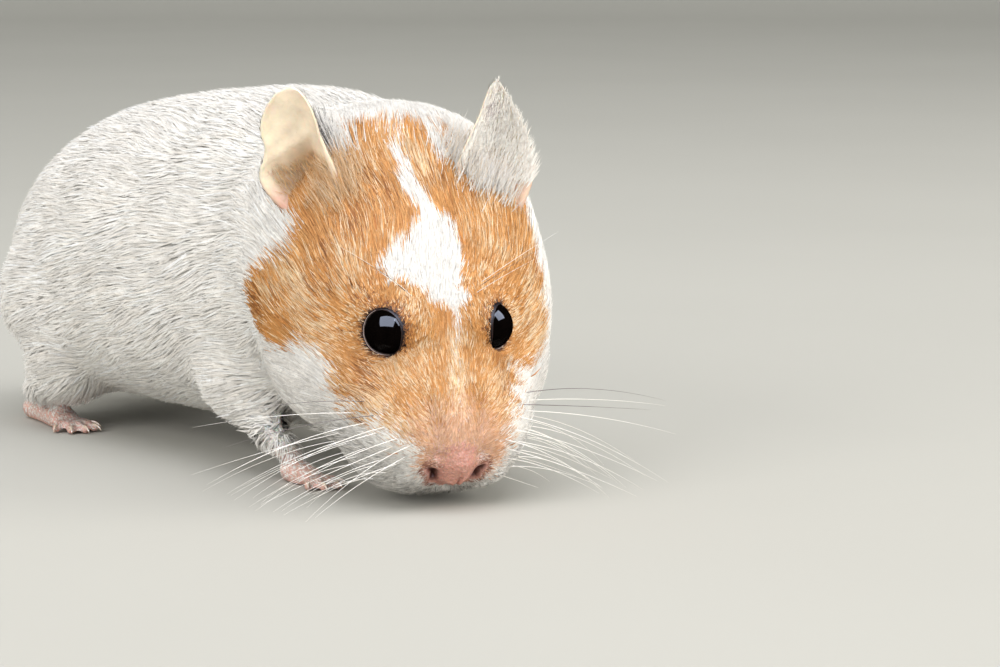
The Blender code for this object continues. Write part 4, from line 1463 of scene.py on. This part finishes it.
EAR_CREAM, EAR_PINK, EAR_CUP_SHADE, EAR_GREY = tones("#F5E6CE", "#E3AD99", "#C49A70", "#B3AAAA")
FOOT_PINK = {"left": 0.4, "right": 0.8}
colours = [body]
for word, (ear_points, _, height, u) in ears.items():
    tone = mixed(EAR_CREAM, EAR_PINK, FOOT_PINK[word] * (1 - ease(height, -1, 4)))
    if word == "right":
        # the right ear's cup is painted tan as the shade in its hollow
        tone = mixed(tone, EAR_CUP_SHADE, 0.85 * hill(height - 3.5, 3.2) * hill(u - 0.1, 0.5))
    else:
        tone = mixed(tone, EAR_GREY, 0.5 * hill(height - 8.8, 2.0) * hill(u + 0.3, 0.35))
    colours.append(tone * (0.965 + 0.035 * ripple(ear_points, 2.2, 31))[:, None])
for _ in lids:
    at_rim = np.tile(np.arange(len(LID_PROFILE)) < 2, LID_STEPS)
    colours.append(mixed(LID_SKIN, linear("#3A2A26"), 0.5 * at_rim))
colours = np.clip(np.concatenate(colours), 0, 1)
porous = np.arange(len(colours))[:, None] < bare_count
paint = skin.data.color_attributes.new("skin_colour", "FLOAT_COLOR", "POINT")
paint.data.foreach_set("color", np.concatenate([colours, porous], 1).astype(np.float32).ravel())
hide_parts(*flesh_nodes, "ear_left", "ear_right")
print("skin painted on", len(colours), "points")


# %% [markdown]
# ## Materials
#
# Hair is keratin: a clear fibre with an IOR of 1.55 and scales that make it satin rather than glossy. Blender
# has a hair shader, but it is meant for strands, not for meshes, so a plain surface is used with little shine.
# Its colour comes from the tufts, varied a little by noise with 2.5 hills to the mm, about a hair's spacing.

# %% Hair
def material(name):
    made = bpy.data.materials.new(name)
    made.use_nodes = True
    made.node_tree.nodes.clear()
    return made, made.node_tree


def pattern(tree, kind, per_mm, **inputs):
    """A procedural pattern over the piece, with so many hills or cells to the mm."""
    where = add(tree, "ShaderNodeTexCoord").outputs["Object"]
    return add(tree, kind, {"Vector": where, "Scale": per_mm / MM, **inputs})


def toned(tree, colour, value, span, levels):
    """The colour, with its brightness taken between two levels as value goes over its span."""
    level = add(tree, "ShaderNodeMapRange", {
        "Value": value, "From Min": span[0], "From Max": span[1], "To Min": levels[0], "To Max": levels[1],
    })
    return add(tree, "ShaderNodeHueSaturation", {"Color": colour, "Value": level.outputs[0]}).outputs[0]


def surface(tree, **inputs):
    """A principled surface with the inputs named, as the material's outcome."""
    named = {name.replace("_", " "): value for name, value in inputs.items()}
    shader = add(tree, "ShaderNodeBsdfPrincipled", named)
    add(tree, "ShaderNodeOutputMaterial", {"Surface": shader.outputs[0]})
    return shader


hair, tree = material("keratin_hair")
tint = add(tree, "ShaderNodeAttribute", attribute_name="hair_colour")
strands = pattern(tree, "ShaderNodeTexNoise", 2.5, Detail=2.0).outputs[0]
varied = toned(tree, tint.outputs["Color"], strands, (0.3, 0.7), (0.90, 1.06))
surface(tree, Base_Color=varied, Roughness=0.62, IOR=1.55, Specular_IOR_Level=0.06)
for made in coat:
    made.data.materials.append(hair)
print("hair on", len(coat), "pieces")


# %% [markdown]
# Living skin is soft and a little moist, with an IOR of 1.4, and light goes a short way into it. Pores 0.4 mm
# apart and finer creases break its surface: the colour is painted a little darker where the pores sink, as
# shade, and both make the bump.
# Blotches of 2 to 3 mm vary the colour, as blood does.

# %% Skin
PORE_SPAN, PORE_SHADE_LEVELS = (0.1, 0.6), (1.05, 0.86)
living_skin, tree = material("living_skin")
tint = add(tree, "ShaderNodeAttribute", attribute_name="skin_colour")
pores = pattern(tree, "ShaderNodeTexVoronoi", 2.6).outputs["Distance"]
creases = pattern(tree, "ShaderNodeTexNoise", 1.4, Detail=4.0).outputs[0]
blotches = pattern(tree, "ShaderNodeTexNoise", 0.42, Detail=3.0).outputs[0]
varied = toned(tree, tint.outputs["Color"], blotches, (0.3, 0.7), (0.88, 1.08))
pits = add(tree, "ShaderNodeMath", {0: pores, 1: tint.outputs["Alpha"]}, operation="MULTIPLY").outputs[0]
relief = add(tree, "ShaderNodeMath", {0: creases, 1: pits}, operation="SUBTRACT").outputs[0]
bump = add(tree, "ShaderNodeBump", {"Height": relief, "Strength": 0.8, "Distance": 0.16 * MM})
# the colour is painted darker where the pores sink, as shade
surface(tree, Base_Color=toned(tree, varied, pits, PORE_SPAN, PORE_SHADE_LEVELS), Roughness=0.45, IOR=1.4,
        Specular_IOR_Level=0.3, Subsurface_Weight=0.25, Subsurface_Scale=0.8 * MM, Normal=bump.outputs[0])
skin.data.materials.append(living_skin)
print("skin material:", living_skin.name)


# %% [markdown]
# The rest is plain: one finish that wanders between two near colours. The cornea is as smooth as glass and wet,
# over an iris so brown that it reads as black, so it has water's IOR of 1.33. The tear line is water over pink
# skin, and its pale colour is partly painted reflection of the wet film. Whiskers are bare keratin. Claws are
# pale horn.

# %% Eyes, whiskers and claws
def plain_finish(name, low, high, per_mm, roughness, ior):
    """A material that wanders between two colours, with so many hills to the mm."""
    made, tree = material(name)
    noise = pattern(tree, "ShaderNodeTexNoise", per_mm, Detail=3.0).outputs[0]
    first, second = ((*colour, 1) for colour in tones(low, high))
    blend = add(tree, "ShaderNodeMix", {"Factor": noise, 6: first, 7: second}, data_type="RGBA")
    surface(tree, Base_Color=blend.outputs[2], Roughness=roughness, IOR=ior)
    return made


FINISHES = [  # pieces, name, two colours, hills to the mm, roughness, IOR
    (eyeballs, "wet_cornea", "#030202", "#0A0706", 0.9, 0.03, 1.33),
    # the tear line's pale colour is partly painted reflection of the wet film
    ([tear_line], "wet_lid_edge", "#D6C4BD", "#B09A93", 1.5, 0.08, 1.33),
    ([whiskers], "pale_whisker", "#FFFDF8", "#EFE8DD", 0.3, 0.35, 1.55),
    ([dark_whiskers], "dark_whisker", "#4B403A", "#75675D", 0.3, 0.35, 1.55),
    ([claws], "claw_horn", "#E9D9C6", "#C9AE96", 0.9, 0.3, 1.55),
]
for pieces, *finish in FINISHES:
    shared = plain_finish(*finish)
    for made in pieces:
        made.data.materials.append(shared)
print("finishes:", ", ".join(row[1] for row in FINISHES))


# %% [markdown]
# ## Stage, light and camera
#
# Nothing moves on a still model, so every piece rides on the root. Skin and coat are hidden from reflections:
# the eye's edge would mirror the fur around it as a brown crescent, which a real eye's wet rim hides.

# %% Put everything on the body
pieces = [skin, *coat, *eyeballs, tear_line, whiskers, dark_whiskers, claws]
for made in pieces:
    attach(made, "root")
for made in [skin, *coat]:
    made.visible_glossy = False
print(len(pieces), "pieces ride on the body")


# %% [markdown]
# The floor is matt grey paper that lies flat under the hamster and curves up into a backdrop 1.5 m behind it. A
# plain world would do, but then the feet would stand on nothing and cast no shadow.

# %% Floor and backdrop
FLAT_TO, SWEEP, HALF_WIDTH, FRONT, TOP = 1.5, 0.5, 2.2, -2.2, 2.2       # m
angles = np.linspace(0.1, math.pi / 2, 12)
bend = [(FLAT_TO + SWEEP * math.sin(a), SWEEP - SWEEP * math.cos(a)) for a in angles]
profile = [(FRONT, 0.0), (FLAT_TO, 0.0), *bend, (FLAT_TO + SWEEP, TOP)]
work = bmesh.new()
left, right = ([work.verts.new((x, y, z)) for y, z in profile] for x in (-HALF_WIDTH, HALF_WIDTH))
for k in range(len(profile) - 1):
    work.faces.new((left[k], right[k], right[k + 1], left[k + 1]))
turn = Matrix.Rotation(math.radians(-35), 3, "Z")
bmesh.ops.rotate(work, verts=work.verts, cent=(0, 0, 0), matrix=turn)
floor = new_object("floor", mesh_of("floor", work))
paper = plain_finish("matt_paper", "#BCBBB5", "#B7B6B0", 0.008, 0.9, 1.45)
paper.node_tree.nodes["Principled BSDF"].inputs["Specular IOR Level"].default_value = 0.0
floor.data.materials.append(paper)
floor.visible_glossy = False
print("the backdrop stands", FLAT_TO + SWEEP, "m behind")


# %% [markdown]
# Four soft lights shape the body: a large one overhead stands for an overcast sky, one at each side fills the
# flanks, and a low one in front opens up the face. They don't show in reflections. The eyes mirror two lights
# of their own, high on both sides, which give no diffuse light. So the gleam can be placed on the ball without
# lighting the fur. A pale world fills the shadows.

# %% Lights
LIGHTS = [  # name, place, what it looks at, size (all m), watts, colour
    ("sky_light", (-0.15, -0.22, 1.00), (0, -0.02, 0.02), (1.1, 0.9), 6.2, "#FBFBFF"),
    ("side_light", (0.80, -0.55, 0.55), (0, -0.03, 0.02), (0.6, 0.5), 4.2, "#FFFBF4"),
    ("flank_light", (-0.90, -0.20, 0.45), (0, 0, 0.02), (0.6, 0.5), 4.2, "#FFFCF8"),
    ("front_light", (0.35, -0.95, 0.16), (0, -0.03, 0.03), (0.7, 0.4), 5.2, "#FFFBF6"),
    ("left_catch_light", (-0.42, -0.46, 0.82), (0, -0.05, 0.03), (1.25, 0.95), 55.0, "#DCE6FF"),
    ("right_catch_light", (0.45, -0.60, 0.70), (0, -0.05, 0.03), (0.7, 0.6), 20.0, "#DCE6FF"),
]
for name, place, aim, size, watts, colour in LIGHTS:
    light = bpy.data.lights.new(name, "AREA")
    light.shape = "RECTANGLE"
    light.size, light.size_y = size
    light.energy = watts
    light.color = linear(colour)
    lamp = new_object(name, light)
    lamp.location = place
    lamp.rotation_euler = (Vector(aim) - Vector(place)).to_track_quat("-Z", "Y").to_euler()
    for_eyes = "catch" in name
    lamp.visible_diffuse, lamp.visible_glossy = not for_eyes, for_eyes
world = bpy.data.worlds.new("studio")
world.use_nodes = True
bpy.context.scene.world = world
world.node_tree.nodes["Background"].inputs["Color"].default_value = (*linear("#EDEEEC"), 1)
world.node_tree.nodes["Background"].inputs["Strength"].default_value = 0.82
world.cycles_visibility.glossy = False
bpy.context.scene.view_settings.view_transform = "Standard"
print(len(LIGHTS), "lights")


# %% [markdown]
# The camera stands in front and to the hamster's right, a little above the floor, with a long lens. It looks at
# a point between the head's middle and the nose, which then lies left of the picture's middle.

# %% Camera
AZIMUTH, ELEVATION, DISTANCE = math.radians(-35), math.radians(8), 0.45
LENS, SENSOR = 117.0, 36.0
AIM = Vector((-5.995, -57.436, 24.2)) * MM
LEFT_OF_MIDDLE, ABOVE_MIDDLE = 0.0600, 0.0035       # shares of the picture's width
camera = new_object("camera", bpy.data.cameras.new("camera"))
camera.data.sensor_width, camera.data.lens, camera.data.clip_start = SENSOR, LENS, 0.01
level = Vector((math.sin(AZIMUTH), -math.cos(AZIMUTH), 0))
back = level * math.cos(ELEVATION) + Vector((0, 0, math.sin(ELEVATION)))
right = Vector((math.cos(AZIMUTH), math.sin(AZIMUTH), 0))
view_width = DISTANCE * SENSOR / LENS
shift = (right * LEFT_OF_MIDDLE - back.cross(right) * ABOVE_MIDDLE) * view_width
camera.location = AIM + back * DISTANCE + shift
camera.rotation_euler = (-back).to_track_quat("-Z", "Y").to_euler()
bpy.context.scene.camera = camera
print("the view is", round(view_width / MM, 1), "mm wide at the head")


# %% [markdown]
# Last, the scene is brought up to date. The whiskers may reach past the CAD model, but the body should fill it.

# %% Finish
bpy.context.view_layer.update()
print("ready after", clock())
